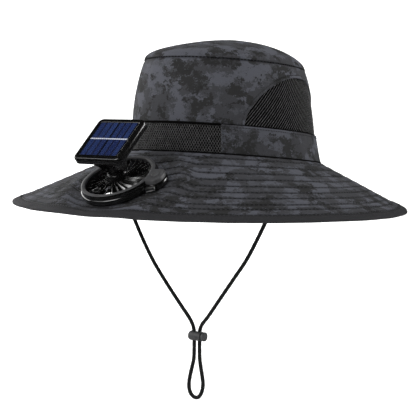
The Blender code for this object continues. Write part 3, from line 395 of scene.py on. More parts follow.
def solar_cells():
    """Six columns and two rows of blue cells under a clear coat, from the plate's UV (0 to 1)."""
    cells = Nodes("solar_cells", (0.01, 0.03, 0.12), 0.16, Coat_Weight=0.8, Coat_Roughness=0.06)
    across, along = cells.flat_place()

    def stripes(value, count, width, offset=0.0):
        """1 within width of each of count + 1 even lines."""
        step = cells.math("FRACT", cells.math("ADD", cells.math("MULTIPLY", value, count), 0.5 + offset))
        near = cells.math("ABSOLUTE", cells.math("SUBTRACT", step, 0.5))
        return cells.math("LESS_THAN", near, width * count / 2)

    column = cells.math("FLOOR", cells.math("MULTIPLY", across, 6.0))
    row = cells.math("FLOOR", cells.math("MULTIPLY", along, 2.0))
    cell = cells.node("ShaderNodeCombineXYZ")
    cells.link(column, cell.inputs[0])
    cells.link(row, cell.inputs[1])
    chance = cells.node("ShaderNodeTexWhiteNoise", noise_dimensions="3D")
    cells.link(cell.outputs[0], chance.inputs["Vector"])
    blue = cells.ramp(chance.outputs["Value"], [(0.0, (0.013, 0.021, 0.072)), (1.0, (0.020, 0.035, 0.108))])
    facets = cells.node("ShaderNodeTexVoronoi")
    cells.link(cells.mapped(source="UV"), facets.inputs["Vector"])
    facets.inputs["Scale"].default_value = 26.0
    blue = cells.mix(0.05, blue, cells.ramp(facets.outputs["Distance"],
                                            [(0.0, (0.02, 0.05, 0.17)), (0.7, (0.005, 0.012, 0.05))]))
    blue = cells.mix(stripes(across, 6.0, 0.028), blue, (0.009, 0.007, 0.008))
    blue = cells.mix(stripes(across, 2.0, 0.044), blue, (0.004, 0.004, 0.004))
    bar = stripes(cells.math("ADD", along, 0.5), 1.0, 0.034)
    dashes = stripes(across, 18.0, 0.014, 0.5)
    bar = cells.math("MULTIPLY", bar, cells.math("SUBTRACT", 1.0, cells.math("MULTIPLY", dashes, 0.6)))
    blue = cells.mix(bar, blue, (0.62, 0.64, 0.70))
    edge = cells.math("MAXIMUM", stripes(along, 1.0, 0.020), stripes(across, 1.0, 0.020))
    cells.colour(cells.mix(edge, blue, (0.010, 0.010, 0.012)))
    fine = cells.noise(cells.mapped(source="UV"), 60.0, 3.0, 0.6)
    cells.roughness(fine, 0.10, 0.26)
    cells.bump((bar, 0.3, 0.00008), (fine, 0.02, 0.0001))
    return cells.material


def cord_braid():
    """Black braid: strands cross on two slants, read from the tube's UV (round, metres along)."""
    braid = Nodes("cord_braid", (0.008, 0.008, 0.008), 0.62, Specular_IOR_Level=0.25)
    strands_round, strand_pitch = 8, 2.1 * MM
    round_by, run = braid.flat_place()
    turn = braid.math("MULTIPLY", round_by, 2 * math.pi * strands_round)
    along = braid.math("MULTIPLY", run, 2 * math.pi / strand_pitch)
    first = braid.math("SINE", braid.math("ADD", turn, along))
    second = braid.math("SINE", braid.math("SUBTRACT", turn, along))
    strands = braid.math("MULTIPLY", first, second)
    braid.colour(braid.ramp(braid.math("MULTIPLY_ADD", strands, 0.5, 0.5),
                            [(0.15, (0.003, 0.003, 0.003)), (0.85, (0.020, 0.020, 0.021))]))
    fuzz = braid.noise(braid.mapped(), 1800.0, 2.0, 0.6)
    braid.roughness(fuzz, 0.5, 0.75)
    braid.bump((strands, 0.8, 0.00025), (fuzz, 0.3, 0.0001))
    return braid.material


def studio_white():
    """White paper that glows a little, so that its far parts stay as pale as the near ones."""
    white = Nodes("studio_white", (0.92, 0.92, 0.92), 0.9)
    mottle = white.noise(white.mapped(), 3.0, 1.0, 0.5)
    white.colour(white.ramp(mottle, [(0.0, 0.90), (1.0, 0.93)]))
    white.shader.inputs["Emission Color"].default_value = (1.0, 1.0, 1.0, 1.0)
    white.shader.inputs["Emission Strength"].default_value = 0.62
    return white.material


CLOTH_LOOK = camouflage_cloth()
TAPE_LOOK = binding_tape()
DARK_THREAD = thread("dark_thread", (0.006, 0.006, 0.006))
GREY_THREAD = thread("grey_thread", (0.040, 0.041, 0.045))
NET_SHADE_LOOK = net_shade_backing()
STRAND_LOOK = net_strand()
GLOSS = gloss_plastic()
SATIN = satin_plastic()
DULL = dull_plastic()
SOFT_GLOSS = guard_plastic()
METAL = socket_metal()
CELLS = solar_cells()
BRAID = cord_braid()


# Mesh building

class Shape:
    """Points, faces and corner UVs of one piece, gathered from grids and rows of tubes."""

    def __init__(self):
        self.points, self.faces, self.uvs, self.finishes = [], [], [], []
        self.count = 0

    def _add(self, points, faces, uvs, finish=0):
        """Takes in points, faces that count from the first of them, corner UVs and a finish's number."""
        self.points.append(points.reshape(-1, 3))
        self.faces.append(faces + self.count)
        self.uvs.append(uvs.reshape(-1, 2))
        self.finishes.append(np.full(len(faces), finish))
        self.count += points.size // 3

    def grid(self, points, uv=None, round_rows=False, round_columns=False, keep=None):
        """Quads over points (rows, columns, 3). uv holds one more row or column where the grid closes."""
        rows, columns = points.shape[:2]
        row = np.arange(rows if round_rows else rows - 1)
        column = np.arange(columns if round_columns else columns - 1)
        row, column = np.meshgrid(row, column, indexing="ij")
        corners = [(row, column), (row, column + 1), (row + 1, column + 1), (row + 1, column)]
        faces = np.stack([(r % rows) * columns + c % columns for r, c in corners], axis=-1)
        if uv is None:
            uvs = np.zeros(faces.shape + (2,))
        else:
            uvs = np.stack([uv[r, c] for r, c in corners], axis=-2)
        faces, uvs = faces.reshape(-1, 4), uvs.reshape(-1, 4, 2)
        if keep is not None:
            chosen = keep.reshape(-1)
            faces, uvs = faces[chosen], uvs[chosen]
        self._add(points, faces, uvs)

    def cap(self, points):
        """One flat face over a ring of points."""
        self._add(points, np.arange(len(points))[None, :], np.zeros((1, len(points), 2)))

    def quads(self, points):
        """Loose four-cornered faces: points is (faces, 4, 3)."""
        self._add(points, np.arange(len(points) * 4).reshape(-1, 4), np.zeros((len(points) * 4, 2)))

    def closed_stack(self, rings, uv=None):
        """A stack of rings (rows, columns, 3), with a flat face at each end."""
        self.grid(rings, uv, round_columns=True)
        start = self.count - rings.shape[0] * rings.shape[1]
        last = start + (rings.shape[0] - 1) * rings.shape[1]
        around = np.arange(rings.shape[1])
        for faces in ((start + around[::-1])[None, :], (last + around)[None, :]):
            self.faces.append(faces)
            self.uvs.append(np.zeros((faces.size, 2)))
            self.finishes.append(np.zeros(1, dtype=int))

    def tubes(self, rings, finish=0):
        """Many equal tubes with flat ends: rings is (tubes, rings, sides, 3)."""
        many, length, sides = rings.shape[:3]
        step = np.arange(length - 1)[:, None]
        side = np.arange(sides)[None, :]
        after = (side + 1) % sides
        quads = np.stack([step * sides + side, step * sides + after, (step + 1) * sides + after,
                          (step + 1) * sides + side], axis=-1).reshape(-1, 4)
        first = np.arange(many)[:, None, None] * length * sides
        self._add(rings, (quads[None] + first).reshape(-1, 4), np.zeros((many * len(quads) * 4, 2)), finish)
        base = self.count - rings.size // 3
        ends = np.stack([np.arange(sides)[::-1], (length - 1) * sides + np.arange(sides)])
        faces = (ends[None] + first).reshape(-1, sides) + base
        self.faces.append(faces)
        self.uvs.append(np.zeros((faces.size, 2)))
        self.finishes.append(np.full(len(faces), finish))

    def build(self, name, finishes, body="hat", replaces=(), slot=None, sharp=None, weld=False):
        """Makes the object, turns its faces outwards and joins it to its body."""
        mesh = bpy.data.meshes.new(name)
        points = np.concatenate(self.points)
        mesh.vertices.add(len(points))
        mesh.vertices.foreach_set("co", points.astype(np.float32).ravel())
        corners = np.concatenate([face.ravel() for face in self.faces])
        sizes = np.concatenate([np.full(len(face), face.shape[1]) for face in self.faces])
        mesh.loops.add(len(corners))
        mesh.loops.foreach_set("vertex_index", corners.astype(np.int32))
        mesh.polygons.add(len(sizes))
        mesh.polygons.foreach_set("loop_start", (np.cumsum(sizes) - sizes).astype(np.int32))
        mesh.polygons.foreach_set("material_index", np.concatenate(self.finishes).astype(np.int32))
        mesh.update(calc_edges=True)
        layer = mesh.uv_layers.new(name="UVMap")
        layer.data.foreach_set("uv", np.concatenate(self.uvs).astype(np.float32).ravel())
        for finish in finishes:
            mesh.materials.append(finish)
        obj = bpy.data.objects.new(name, mesh)
        bpy.context.scene.collection.objects.link(obj)
        clean_mesh(obj, weld)
        return dress(obj, body, replaces, sharp)


def clean_mesh(obj, weld):
    """Joins doubled points if asked, drops loose ones and turns every face outwards."""
    work = bmesh.new()
    work.from_mesh(obj.data)
    if weld:
        bmesh.ops.remove_doubles(work, verts=work.verts, dist=1e-6)
    loose = [vertex for vertex in work.verts if not vertex.link_faces]
    bmesh.ops.delete(work, geom=loose, context="VERTS")
    bmesh.ops.recalc_face_normals(work, faces=work.faces)
    work.to_mesh(obj.data)
    work.free()


def dress(obj, body, replaces=(), sharp=None):
    """Smooth shading, sharp over an angle if one is given, and the piece's body and nodes."""
    obj.data.shade_smooth()
    if sharp:
        obj.data.set_sharp_from_angle(angle=math.radians(sharp))
    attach(obj, body)
    if replaces:
        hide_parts(*replaces)
    return obj


def unit(vectors):
    """Vectors divided by their lengths."""
    return vectors / np.maximum(np.linalg.norm(vectors, axis=-1, keepdims=True), 1e-12)


def moved(points, matrix):
    """Points of an array (..., 3) carried by a 4x4 matrix."""
    turn = np.array(matrix)
    return points @ turn[:3, :3].T + turn[:3, 3]


def eased(part):
    """Smooth step from 0 to 1: three times the square less twice the cube, flat outside."""
    part = np.clip(part, 0.0, 1.0)
    return part * part * (3.0 - 2.0 * part)


def bell(off, width):
    """Bump of height 1 that falls off as e to the minus square of off over width."""
    return np.exp(-(off / width) ** 2)


def smooth_between(before, here, after, beyond, part):
    """Cubic from here to after whose slopes come from the neighbours on both sides."""
    return 0.5 * (2 * here + (after - before) * part
                  + (2 * before - 5 * here + 4 * after - beyond) * part ** 2
                  + (3 * here - before - 3 * after + beyond) * part ** 3)


def tube_rings(paths, ups, radii, sides):
    """Rings of a round tube along each path (..., rings, 3): centre + radius (cos side + sin up)."""
    heading = unit(np.gradient(paths, axis=-2))
    across = unit(np.cross(heading, ups))
    over = np.cross(across, heading)
    angle = np.arange(sides) * 2 * math.pi / sides
    spread = np.cos(angle)[:, None] * across[..., None, :] + np.sin(angle)[:, None] * over[..., None, :]
    return paths[..., None, :] + spread * np.asarray(radii)[..., None, None]


def run_of(path):
    """Length along a polyline at each of its points."""
    return np.concatenate([[0.0], np.cumsum(np.linalg.norm(np.diff(path, axis=0), axis=1))])


def pick(path, run, at):
    """Points of a polyline at given lengths along it."""
    return np.stack([np.interp(at, run, path[:, axis]) for axis in range(path.shape[1])], axis=-1)


def stitches(shape, path, ups, pitch=3.2 * MM, share=0.74, radius=0.26 * MM, sink=0.25 * MM, finish=0,
             loop=True):
    """Short threads along a path: each rises over the cloth and dives back at both ends."""
    if loop:
        path, ups = np.concatenate([path, path[:1]]), np.concatenate([ups, ups[:1]])
    run = run_of(path)
    count = max(int(run[-1] / pitch), 1)
    starts = np.arange(count) * run[-1] / count
    part = np.linspace(0.0, 1.0, 5)
    at = starts[:, None] + part[None, :] * pitch * share
    up = unit(pick(ups, run, at))
    lift = (np.sin(math.pi * part) ** 0.5 * (sink + radius * 0.6) - sink)[None, :, None]
    radii = np.broadcast_to(radius * np.array([0.55, 0.95, 1.0, 0.95, 0.55]), at.shape)
    shape.tubes(tube_rings(pick(path, run, at) + up * lift, up, radii, 5), finish)


def rounded(corners, radius, steps=4):
    """Closed outline with each corner eased: a curve between points radius away on its two sides."""
    corners = [tuple(corner) for corner in corners]
    out = []
    for index, corner in enumerate(corners):
        here = np.array(corner[:2], dtype=float)
        before = np.array(corners[index - 1][:2], dtype=float)
        after = np.array(corners[(index + 1) % len(corners)][:2], dtype=float)
        reach = corner[2] if len(corner) > 2 else radius
        to_before, to_after = before - here, after - here
        near = min(reach, 0.45 * np.linalg.norm(to_before), 0.45 * np.linalg.norm(to_after))
        start = here + to_before / np.linalg.norm(to_before) * near
        end = here + to_after / np.linalg.norm(to_after) * near
        for part in np.linspace(0.0, 1.0, steps + 1):
            out.append((1 - part) ** 2 * start + 2 * part * (1 - part) * here + part ** 2 * end)
    return np.array(out)


def wrinkle(angle, place, seed, size, waves=7, reach=(3, 17), lean=30.0):
    """Gentle uneven ripples: a sum of sines of the angle and the place with seeded phases."""
    chance = np.random.default_rng(seed)
    total = 0.0
    for _ in range(waves):
        turns = chance.integers(*reach)
        total = total + chance.uniform(0.4, 1.0) * np.sin(
            turns * angle + chance.uniform(-lean, lean) * place + chance.uniform(0, 2 * math.pi))
    return size * total / math.sqrt(waves)


# The hat's surfaces

def crown_point(angle, height, inset=0.0):
    """Point of the crown's outer side: an ellipse whose half axes, lean and slope follow the ring table."""
    angle, height = np.broadcast_arrays(angle, height)
    at = height / SEAM_HEIGHT
    wide, long, lean, slope = (np.interp(at, CROWN_RINGS[:, 0], CROWN_RINGS[:, k]) for k in (1, 2, 3, 4))
    middle = np.clip((height - BAND_HEIGHT) / (SEAM_HEIGHT - BAND_HEIGHT), 0.0, 1.0)
    bulge = CROWN_BULGE * np.sin(math.pi * middle) * (0.5 - 0.5 * np.cos(angle))
    half_width = OPENING_HALF_WIDTH * wide + bulge - inset
    half_length = OPENING_HALF_LENGTH * long + bulge - inset
    y = CROWN_LEAN * lean - half_length * np.cos(angle)
    return np.stack([half_width * np.sin(angle), y, height - RING_SLOPE * slope * y], axis=-1)


def dome_point(angle, share_out, lift=0.0):
    """Tip of the crown: rise falls to the seam as (1 - share ** 1.8) ** 0.62, and the ring's tilt fades."""
    angle, share_out = np.broadcast_arrays(angle, share_out)
    level = SEAM_HEIGHT + GAP / 2 + DOME_LIP
    edge = crown_point(angle, level)
    rise = DOME_RISE * (1.0 - share_out ** 1.8) ** 0.62
    tilt = (edge[..., 2] - level) * share_out ** 3
    return np.stack([edge[..., 0] * share_out, CROWN_LEAN + (edge[..., 1] - CROWN_LEAN) * share_out,
                     level + rise + tilt + lift], axis=-1)


def brim_edge_share(angle, column):
    """Smooth closed curve through the rows of the brim's edge table, the same on both sides."""
    rows = BRIM_EDGE[:, column]
    ring = np.concatenate([rows, rows[-2:0:-1]])
    place = (np.asarray(angle) % (2 * math.pi)) / (2 * math.pi) * len(ring)
    start = np.floor(place).astype(int)
    part = place - start
    before, here, after, beyond = (ring[(start + step) % len(ring)] for step in (-1, 0, 1, 2))
    return smooth_between(before, here, after, beyond, part)


def front_right(angle):
    """1 where the real brim is lifted and pulled most, 55 degrees to the wearer's right, and 0 opposite."""
    return 0.5 + 0.5 * np.cos(angle + math.radians(55.0))


def brim_edge_point(angle):
    """Edge of the cloth, a little longer at the front right than the solid's."""
    stretch = 1.8 * MM * front_right(angle) ** 4
    reach = BRIM_HALF_SPAN * brim_edge_share(angle, 0) - BINDING_EDGE + stretch
    return np.stack([reach * np.sin(angle), -reach * np.cos(angle),
                     -BRIM_DROP * brim_edge_share(angle, 1)], axis=-1)


FRONT_INNER = crown_point(0.0, 0.0)
FRONT_OUTER_Y, FRONT_OUTER_Z = BINDING_EDGE - BRIM_HALF_SPAN * BRIM_EDGE[0, 0], -BRIM_DROP * BRIM_EDGE[0, 1]
FRONT_SLOPE = (FRONT_INNER[2] - FRONT_OUTER_Z) / (FRONT_INNER[1] - FRONT_OUTER_Y)
FAN_TILT = math.atan(FRONT_SLOPE)
FAN_FOOT_Z = FRONT_INNER[2] - FRONT_SLOPE * (FAN_REACH + FRONT_INNER[1])
FAN_FRAME = Matrix.Translation((0.0, -FAN_REACH, FAN_FOOT_Z)) @ Matrix.Rotation(FAN_TILT, 4, "X")
PANEL_FRAME = (FAN_FRAME @ Matrix.Translation((0.0, 0.0, PIVOT_RISE))
               @ Matrix.Rotation(PANEL_TILT - FAN_TILT, 4, "X"))
LOCK_FRAME = Matrix.Translation(LOCK_CENTRE) @ Matrix.Rotation(math.pi / 2, 4, "Y")


def fan_distance(point, place=(0.0, 0.0)):
    """Distance from the fan's axis, or from a place in the fan's plane, measured on the brim's slope."""
    along = (point[..., 1] + FAN_REACH) / math.cos(FAN_TILT)
    return np.hypot(point[..., 0] - place[0], along - place[1])


def brim_point(angle, outward):
    """Top of the brim: straight from the crown's foot to the edge, and flat under the fan."""
    angle, outward = np.broadcast_arrays(angle, outward)
    inner = crown_point(angle, np.zeros_like(angle))
    point = inner + (brim_edge_point(angle) - inner) * outward[..., None]
    plane = FAN_FOOT_Z + (point[..., 1] + FAN_REACH) * FRONT_SLOPE
    away = eased((fan_distance(point) - FAN_FLAT) / (FAN_BLEND - FAN_FLAT))
    point[..., 2] = away * point[..., 2] + (1.0 - away) * plane
    point[..., 2] += brim_lift(angle, outward, point)
    return point


def brim_lift(angle, outward, point):
    """The edge rides higher to the front right, by the way outward to the power 1.4, and stays down
    under the fan and its ear."""
    fade = 15.0 * MM
    free = eased((fan_distance(point) - 37.0 * MM) / fade) * eased(
        (fan_distance(point, EAR_CENTRE) - 11.5 * MM) / fade)
    most = 0.4 * MM + 4.1 * MM * front_right(angle)
    return most * np.clip(outward, 0.0, None) ** 1.4 * free


def upward(surface, angle, place):
    """Unit normal of a surface of (angle, place), on the side where place x angle points."""
    step = 1e-4
    along = surface(angle + step, place) - surface(angle - step, place)
    out = surface(angle, place + step) - surface(angle, place - step)
    return unit(np.cross(out, along))


def near_fan(point):
    """1 under the fan, 0 well away from it, so that nothing bulges into its base."""
    return 1.0 - eased((fan_distance(point) - FAN_FLAT) / (10.0 * MM))


def row_wander(angle, place):
    """The stitched rows wander a little: small sines of the angle, still at both ends."""
    sway = 0.0020 * np.sin(7 * angle + 11 * place) + 0.0014 * np.sin(13 * angle - 23 * place + 1.0)
    return place + sway * np.sin(math.pi * place)


def level_out(angle):
    """Level unit vector that points away from the hat's axis."""
    return np.stack([np.sin(angle), -np.cos(angle), 0 * angle], axis=-1)


def step_in(height):
    """How far the crown's cloth sits inside the wall: BAND_STEP at the band, falling evenly to 0."""
    return BAND_STEP * (1.0 - (height - BAND_HEIGHT) / (SEAM_HEIGHT - BAND_HEIGHT))


def vent_top(across):
    """Height of a vent's arch: one less the square of the place across, to a power."""
    return VENT_RISE * np.clip(1.0 - np.abs(across) ** 2, 0.0, 1.0) ** VENT_POINTEDNESS


# Crown

def crown_angles():
    """Angles round the crown, closer together at the corners of the two vents."""
    arch = np.sin(np.linspace(-math.pi / 2, math.pi / 2, 121)) * VENT_HALF_ANGLE
    front = np.linspace(-VENT_MIDDLE + VENT_HALF_ANGLE, VENT_MIDDLE - VENT_HALF_ANGLE, 91)[1:-1]
    back = np.linspace(VENT_MIDDLE + VENT_HALF_ANGLE, 2 * math.pi - VENT_MIDDLE - VENT_HALF_ANGLE, 71)[1:-1]
    return np.concatenate([front, VENT_MIDDLE + arch, back, 2 * math.pi - VENT_MIDDLE + arch])


def vent_across(angle):
    """Place across the nearer vent, -1 to 1 inside it."""
    turned = (np.asarray(angle) + math.pi) % (2 * math.pi) - math.pi
    return (np.abs(turned) - VENT_MIDDLE) / VENT_HALF_ANGLE


def arch_distance(angle, height):
    """Distance from the arch's edge, measured on the wall opened flat."""
    across = np.sin(np.linspace(-math.pi / 2, math.pi / 2, 181))
    edge_x = across * VENT_HALF_WIDTH
    edge_y = BAND_HEIGHT + VENT_FOOT + vent_top(across)
    x = vent_across(angle) * VENT_HALF_WIDTH
    return np.sqrt((x[..., None] - edge_x) ** 2 + (height[..., None] - edge_y) ** 2).min(axis=-1)


def crown_side():
    """Cloth wall above the band and the two arches: rows run from its lower edge to the tip seam.
    Moved outwards by a welt along each arch, folds and a full middle, and inwards at its two edges."""
    angles = crown_angles()
    across, tucked = vent_across(angles), 1.6 * MM
    arch = np.where(np.abs(across) < 1.0, VENT_FOOT + tucked + vent_top(across), 0.0)
    foot, top, rows = BAND_HEIGHT - tucked + arch, SEAM_HEIGHT - 0.1 * MM, 26
    height = foot[None, :] + (top - foot[None, :]) * np.linspace(0.0, 1.0, rows)[:, None] ** 1.25
    angle = np.broadcast_to(angles, height.shape)
    away = arch_distance(angle, height)
    above = np.clip((height - BAND_HEIGHT) / (SEAM_HEIGHT - BAND_HEIGHT), 0.0, 1.0)
    welt = 0.55 * MM * bell(np.clip(away - 1.5 * MM, 0.0, None), 0.9 * MM)
    welt = welt - 0.50 * MM * bell(away - 2.6 * MM, 0.45 * MM)
    edges = -0.9 * MM * bell(top - height, 0.7 * MM) - 0.6 * MM * bell(height - BAND_HEIGHT, 1.3 * MM)
    settled = np.clip((height - BAND_HEIGHT) / 0.012, 0.0, 1.0) * np.clip((top - height) / 0.010, 0.0, 1.0)
    folds = wrinkle(angle, height, 3, 0.45 * MM, 8, (2, 13), 90.0) * settled
    full = 1.9 * MM * np.sin(math.pi * above) ** 0.8 * np.clip(away / (12 * MM), 0.0, 1.0) ** 0.6
    inset = BAND_STEP * (1.0 - above) - edges - folds - full
    outer = crown_point(angle, height, inset - welt)
    inner = crown_point(angle, height, inset + CLOTH)
    run = np.append(angles, angles[0] + 2 * math.pi) * CLOTH_RADIUS
    uv = np.stack([np.broadcast_to(run, (rows, len(run))),
                   np.concatenate([height, height[:, :1]], axis=1)], axis=-1)
    shape = Shape()
    shape.grid(np.concatenate([outer, inner[::-1]]), np.concatenate([uv, uv[::-1], uv[:1]]),
               round_rows=True, round_columns=True)
    shape.build("crown_side_cloth", [CLOTH_LOOK], replaces=["crown_side"], slot="camouflage_cloth")


def crown_tip():
    """Domed tip with a rolled edge at the seam, and folds that fade at the seam and the middle."""
    angles = np.arange(320) * 2 * math.pi / 320
    share = np.concatenate([np.linspace(1.0, 0.90, 9), np.linspace(0.87, 0.04, 24), [0.008]])
    angle, out = np.meshgrid(angles, share)
    settled = np.clip((1 - out) / 0.2, 0, 1) * np.clip(out / 0.4, 0, 1)
    folds = wrinkle(angle, out, 8, 0.35 * MM, 7, (2, 9), 5.0) * settled
    lip_height, tuck = SEAM_HEIGHT + GAP / 2, 0.75 * MM
    lip = crown_point(angles, lip_height, tuck)[None]
    inner_lip = crown_point(angles, lip_height, tuck + CLOTH)[None]
    shape = Shape()
    for edge, dome in ((lip, dome_point(angle, out, folds)),
                       (inner_lip, dome_point(angle, out * 0.982, folds - CLOTH))):
        rings = np.concatenate([edge, dome])
        plan = np.concatenate([rings, rings[:, :1]], axis=1)[..., :2]
        shape.grid(rings, plan, round_columns=True)
        shape.cap(rings[-1])
    shape.grid(np.concatenate([lip, inner_lip]), round_columns=True)
    shape.build("crown_tip_cloth", [CLOTH_LOOK], replaces=["crown_top"], slot="camouflage_cloth", weld=True)


def seam_line():
    """Black thread that shows as dashes in the groove of the tip seam."""
    angles = np.linspace(0.0, 2 * math.pi, 700, endpoint=False)
    path = crown_point(angles, SEAM_HEIGHT + 0.1 * MM, 0.25 * MM)
    shape = Shape()
    stitches(shape, path, level_out(angles), 3.4 * MM, 0.72, 0.42 * MM, 0.3 * MM)
    shape.build("tip_seam_thread", [DARK_THREAD], slot="camouflage_cloth")


def arch_path(sign, outside):
    """Points and outward directions along a vent's arch, shifted outwards on the opened wall."""
    across = np.sin(np.linspace(-0.995, 0.995, 260) * math.pi / 2)
    flat = np.stack([across * VENT_HALF_WIDTH, vent_top(across) + VENT_FOOT], axis=-1)
    heading = unit(np.gradient(flat, axis=0))
    flat = flat + np.stack([-heading[:, 1], heading[:, 0]], axis=-1) * outside
    angle = sign * (VENT_MIDDLE + flat[:, 0] / WALL_RADIUS)
    height = BAND_HEIGHT + np.clip(flat[:, 1], 0.3 * MM, None)
    return angle, height, level_out(angle)


def vent_trim():
    """Topstitching round both arches, and a fine black piping at the edge of the cloth."""
    threads, piping = Shape(), Shape()
    for sign in (1, -1):
        angle, height, outward = arch_path(sign, 2.5 * MM)
        path = crown_point(angle, height, step_in(height) - 0.15 * MM)
        stitches(threads, path, outward, 2.9 * MM, loop=False)
        angle, height, outward = arch_path(sign, 0.1 * MM)
        path = crown_point(angle, height, step_in(height) + 0.05 * MM)
        piping.tubes(tube_rings(path, outward, np.full(len(path), 0.42 * MM), 8)[None])
    threads.build("vent_topstitch", [DARK_THREAD], slot="camouflage_cloth")
    piping.build("vent_piping", [GREY_THREAD], slot="black_net")


def net(shape, inside, place, half_width, height, pitch, slants, radius, finish=1):
    """Strands of a net over a flat region carried onto the wall: parallel lines on each slant, kept
    where inside(x, y) holds, each a thin tube that weaves up and down over its pitch."""
    for order, slant in enumerate(slants):
        run = np.array([math.cos(slant), math.sin(slant)])
        side = np.array([-run[1], run[0]])
        reach = half_width + height
        offsets = np.arange(-reach, reach, pitch)
        along = np.linspace(-reach, reach, 900)
        flat = offsets[:, None, None] * side + along[None, :, None] * run + np.array([0.0, height / 2])
        held = inside(flat[..., 0], flat[..., 1])
        for line, kept in zip(flat, held):
            if kept.sum() < 8:
                continue
            part = line[kept]
            count = max(int(np.linalg.norm(part[-1] - part[0]) / (pitch * 0.42)), 4)
            part = part[np.linspace(0, len(part) - 1, count).astype(int)]
            weave = np.sin(np.arange(count) * 2 * math.pi / 5.0 + order * math.pi) * radius * 0.35
            path, out = place(part[:, 0], part[:, 1], weave)
            shape.tubes(tube_rings(path, out, np.full(count, radius), 5)[None], finish=finish)


def side_vents():
    """Net panels: a thin dark backing, painted shade of the hat's inside, under two crossing sets of strands,
    the rising one thicker and the falling one near black as painted shade.
    """
    for sign, name in ((1, "left"), (-1, "right")):
        columns, rows = 90, 24
        across = np.sin(np.linspace(-0.985, 0.985, columns) * math.pi / 2)
        tall = vent_top(across) + VENT_FOOT + 3.0 * MM
        part = np.linspace(0.0, 1.0, rows)[:, None]
        height = BAND_HEIGHT - 2.0 * MM + tall[None, :] * part
        angle = np.broadcast_to(sign * (VENT_MIDDLE + across * VENT_HALF_ANGLE), height.shape)
        outer = crown_point(angle, height, step_in(height) + 0.75 * MM)
        inner = crown_point(angle, height, step_in(height) + 1.05 * MM)
        shape = Shape()
        shape.grid(np.concatenate([outer, inner[::-1]]), round_rows=True)
        for end in (0, -1):
            shape.cap(np.concatenate([outer[:, end], inner[::-1, end]]))

        def inside(x, y):
            """True within the arch, less a narrow border."""
            limit = vent_top(np.clip(x / VENT_HALF_WIDTH, -1, 1)) - 0.3 * MM
            return (np.abs(x) < VENT_HALF_WIDTH) & (y > 0.1 * MM) & (y < limit)

        def place(x, y, lift):
            """Flat place wrapped on the wall, with its outward direction."""
            angle = sign * (VENT_MIDDLE + x / WALL_RADIUS)
            level = BAND_HEIGHT + VENT_FOOT + y
            return crown_point(angle, level, step_in(level) + 0.45 * MM - lift), level_out(angle)

        rising = math.radians(90.0 - sign * 40.0)
        net(shape, inside, place, VENT_HALF_WIDTH, VENT_RISE, NET_PITCH, [rising], 0.31 * MM)
        # Painted shade: the falling strands take the backing's near black, as the shaded set of the same
        # yarn.
        net(shape, inside, place, VENT_HALF_WIDTH, VENT_RISE, NET_PITCH, [math.pi - rising], 0.13 * MM,
            finish=0)
        shape.build(f"vent_net_{name}", [NET_SHADE_LOOK, STRAND_LOOK], replaces=[f"vent_{name}"],
                    slot="black_net", weld=True)


# Band

def band_shell(shape, start, end, columns, thick, lift, top_fold=0.35 * MM):
    """Strip with a folded top edge and a sewn groove under it, carried round the crown's foot; lift
    moves its outer side out, thick is its inner side's way in."""
    angles = np.linspace(start, end, columns)
    part = np.linspace(0.0, 1.0, 16)[:, None]
    angle, height = np.meshgrid(angles, 0.35 * MM + (BAND_HEIGHT - 0.25 * MM) * part[:, 0])
    fold = top_fold * np.exp(-((BAND_HEIGHT - height) / (1.6 * MM)) ** 4)
    groove = -0.35 * MM * bell(BAND_HEIGHT - 1.7 * MM - height, 0.6 * MM)
    droop = 0.5 * MM * bell(height, 2.4 * MM)
    ripple = wrinkle(angle, height, 21, 0.28 * MM, 8, (4, 22), 120.0) * np.sin(math.pi * part) ** 0.5
    outer = crown_point(angle, height, -lift - fold - groove - droop - ripple)
    inner = crown_point(angle, height, thick)
    uv = np.stack([angle * 0.09, height], axis=-1)
    shape.grid(np.concatenate([outer, inner[::-1]]), np.concatenate([uv, uv[::-1], uv[:1]]), round_rows=True)
    for end_column in (0, -1):
        shape.cap(np.concatenate([outer[:, end_column], inner[::-1, end_column]]))


def band():
    """Camouflage strip round the sides and back, and the net strip across the front on a near-black backing
    of painted shade.
    """
    cloth = Shape()
    band_shell(cloth, MESH_HALF_ANGLE, 2 * math.pi - MESH_HALF_ANGLE, 420, BAND_THICK, 0.2 * MM)
    cloth.build("band_cloth_strip", [CLOTH_LOOK], replaces=["band_cloth"], slot="camouflage_cloth", weld=True)
    net_piece = Shape()
    band_shell(net_piece, -MESH_HALF_ANGLE - 0.004, MESH_HALF_ANGLE + 0.004, 130, BAND_THICK - 0.4 * MM,
               -0.55 * MM, 0.1 * MM)
    half = MESH_HALF_ANGLE * BAND_RADIUS

    def inside(x, y):
        """True on the strip, less its two hems."""
        return (np.abs(x) < half) & (y > 0.8 * MM) & (y < BAND_HEIGHT - 1.2 * MM)

    def place(x, y, lift):
        """Flat place wrapped on the band, with its outward direction."""
        angle = x / BAND_RADIUS
        return crown_point(angle, y, 0.10 * MM - lift), level_out(angle)

    net(net_piece, inside, place, half, BAND_HEIGHT, NET_PITCH, [math.radians(58.0), math.radians(122.0)],
        0.22 * MM)
    net_piece.build("band_net_strip", [NET_SHADE_LOOK, STRAND_LOOK], replaces=["band_mesh"], slot="black_net",
                    weld=True)


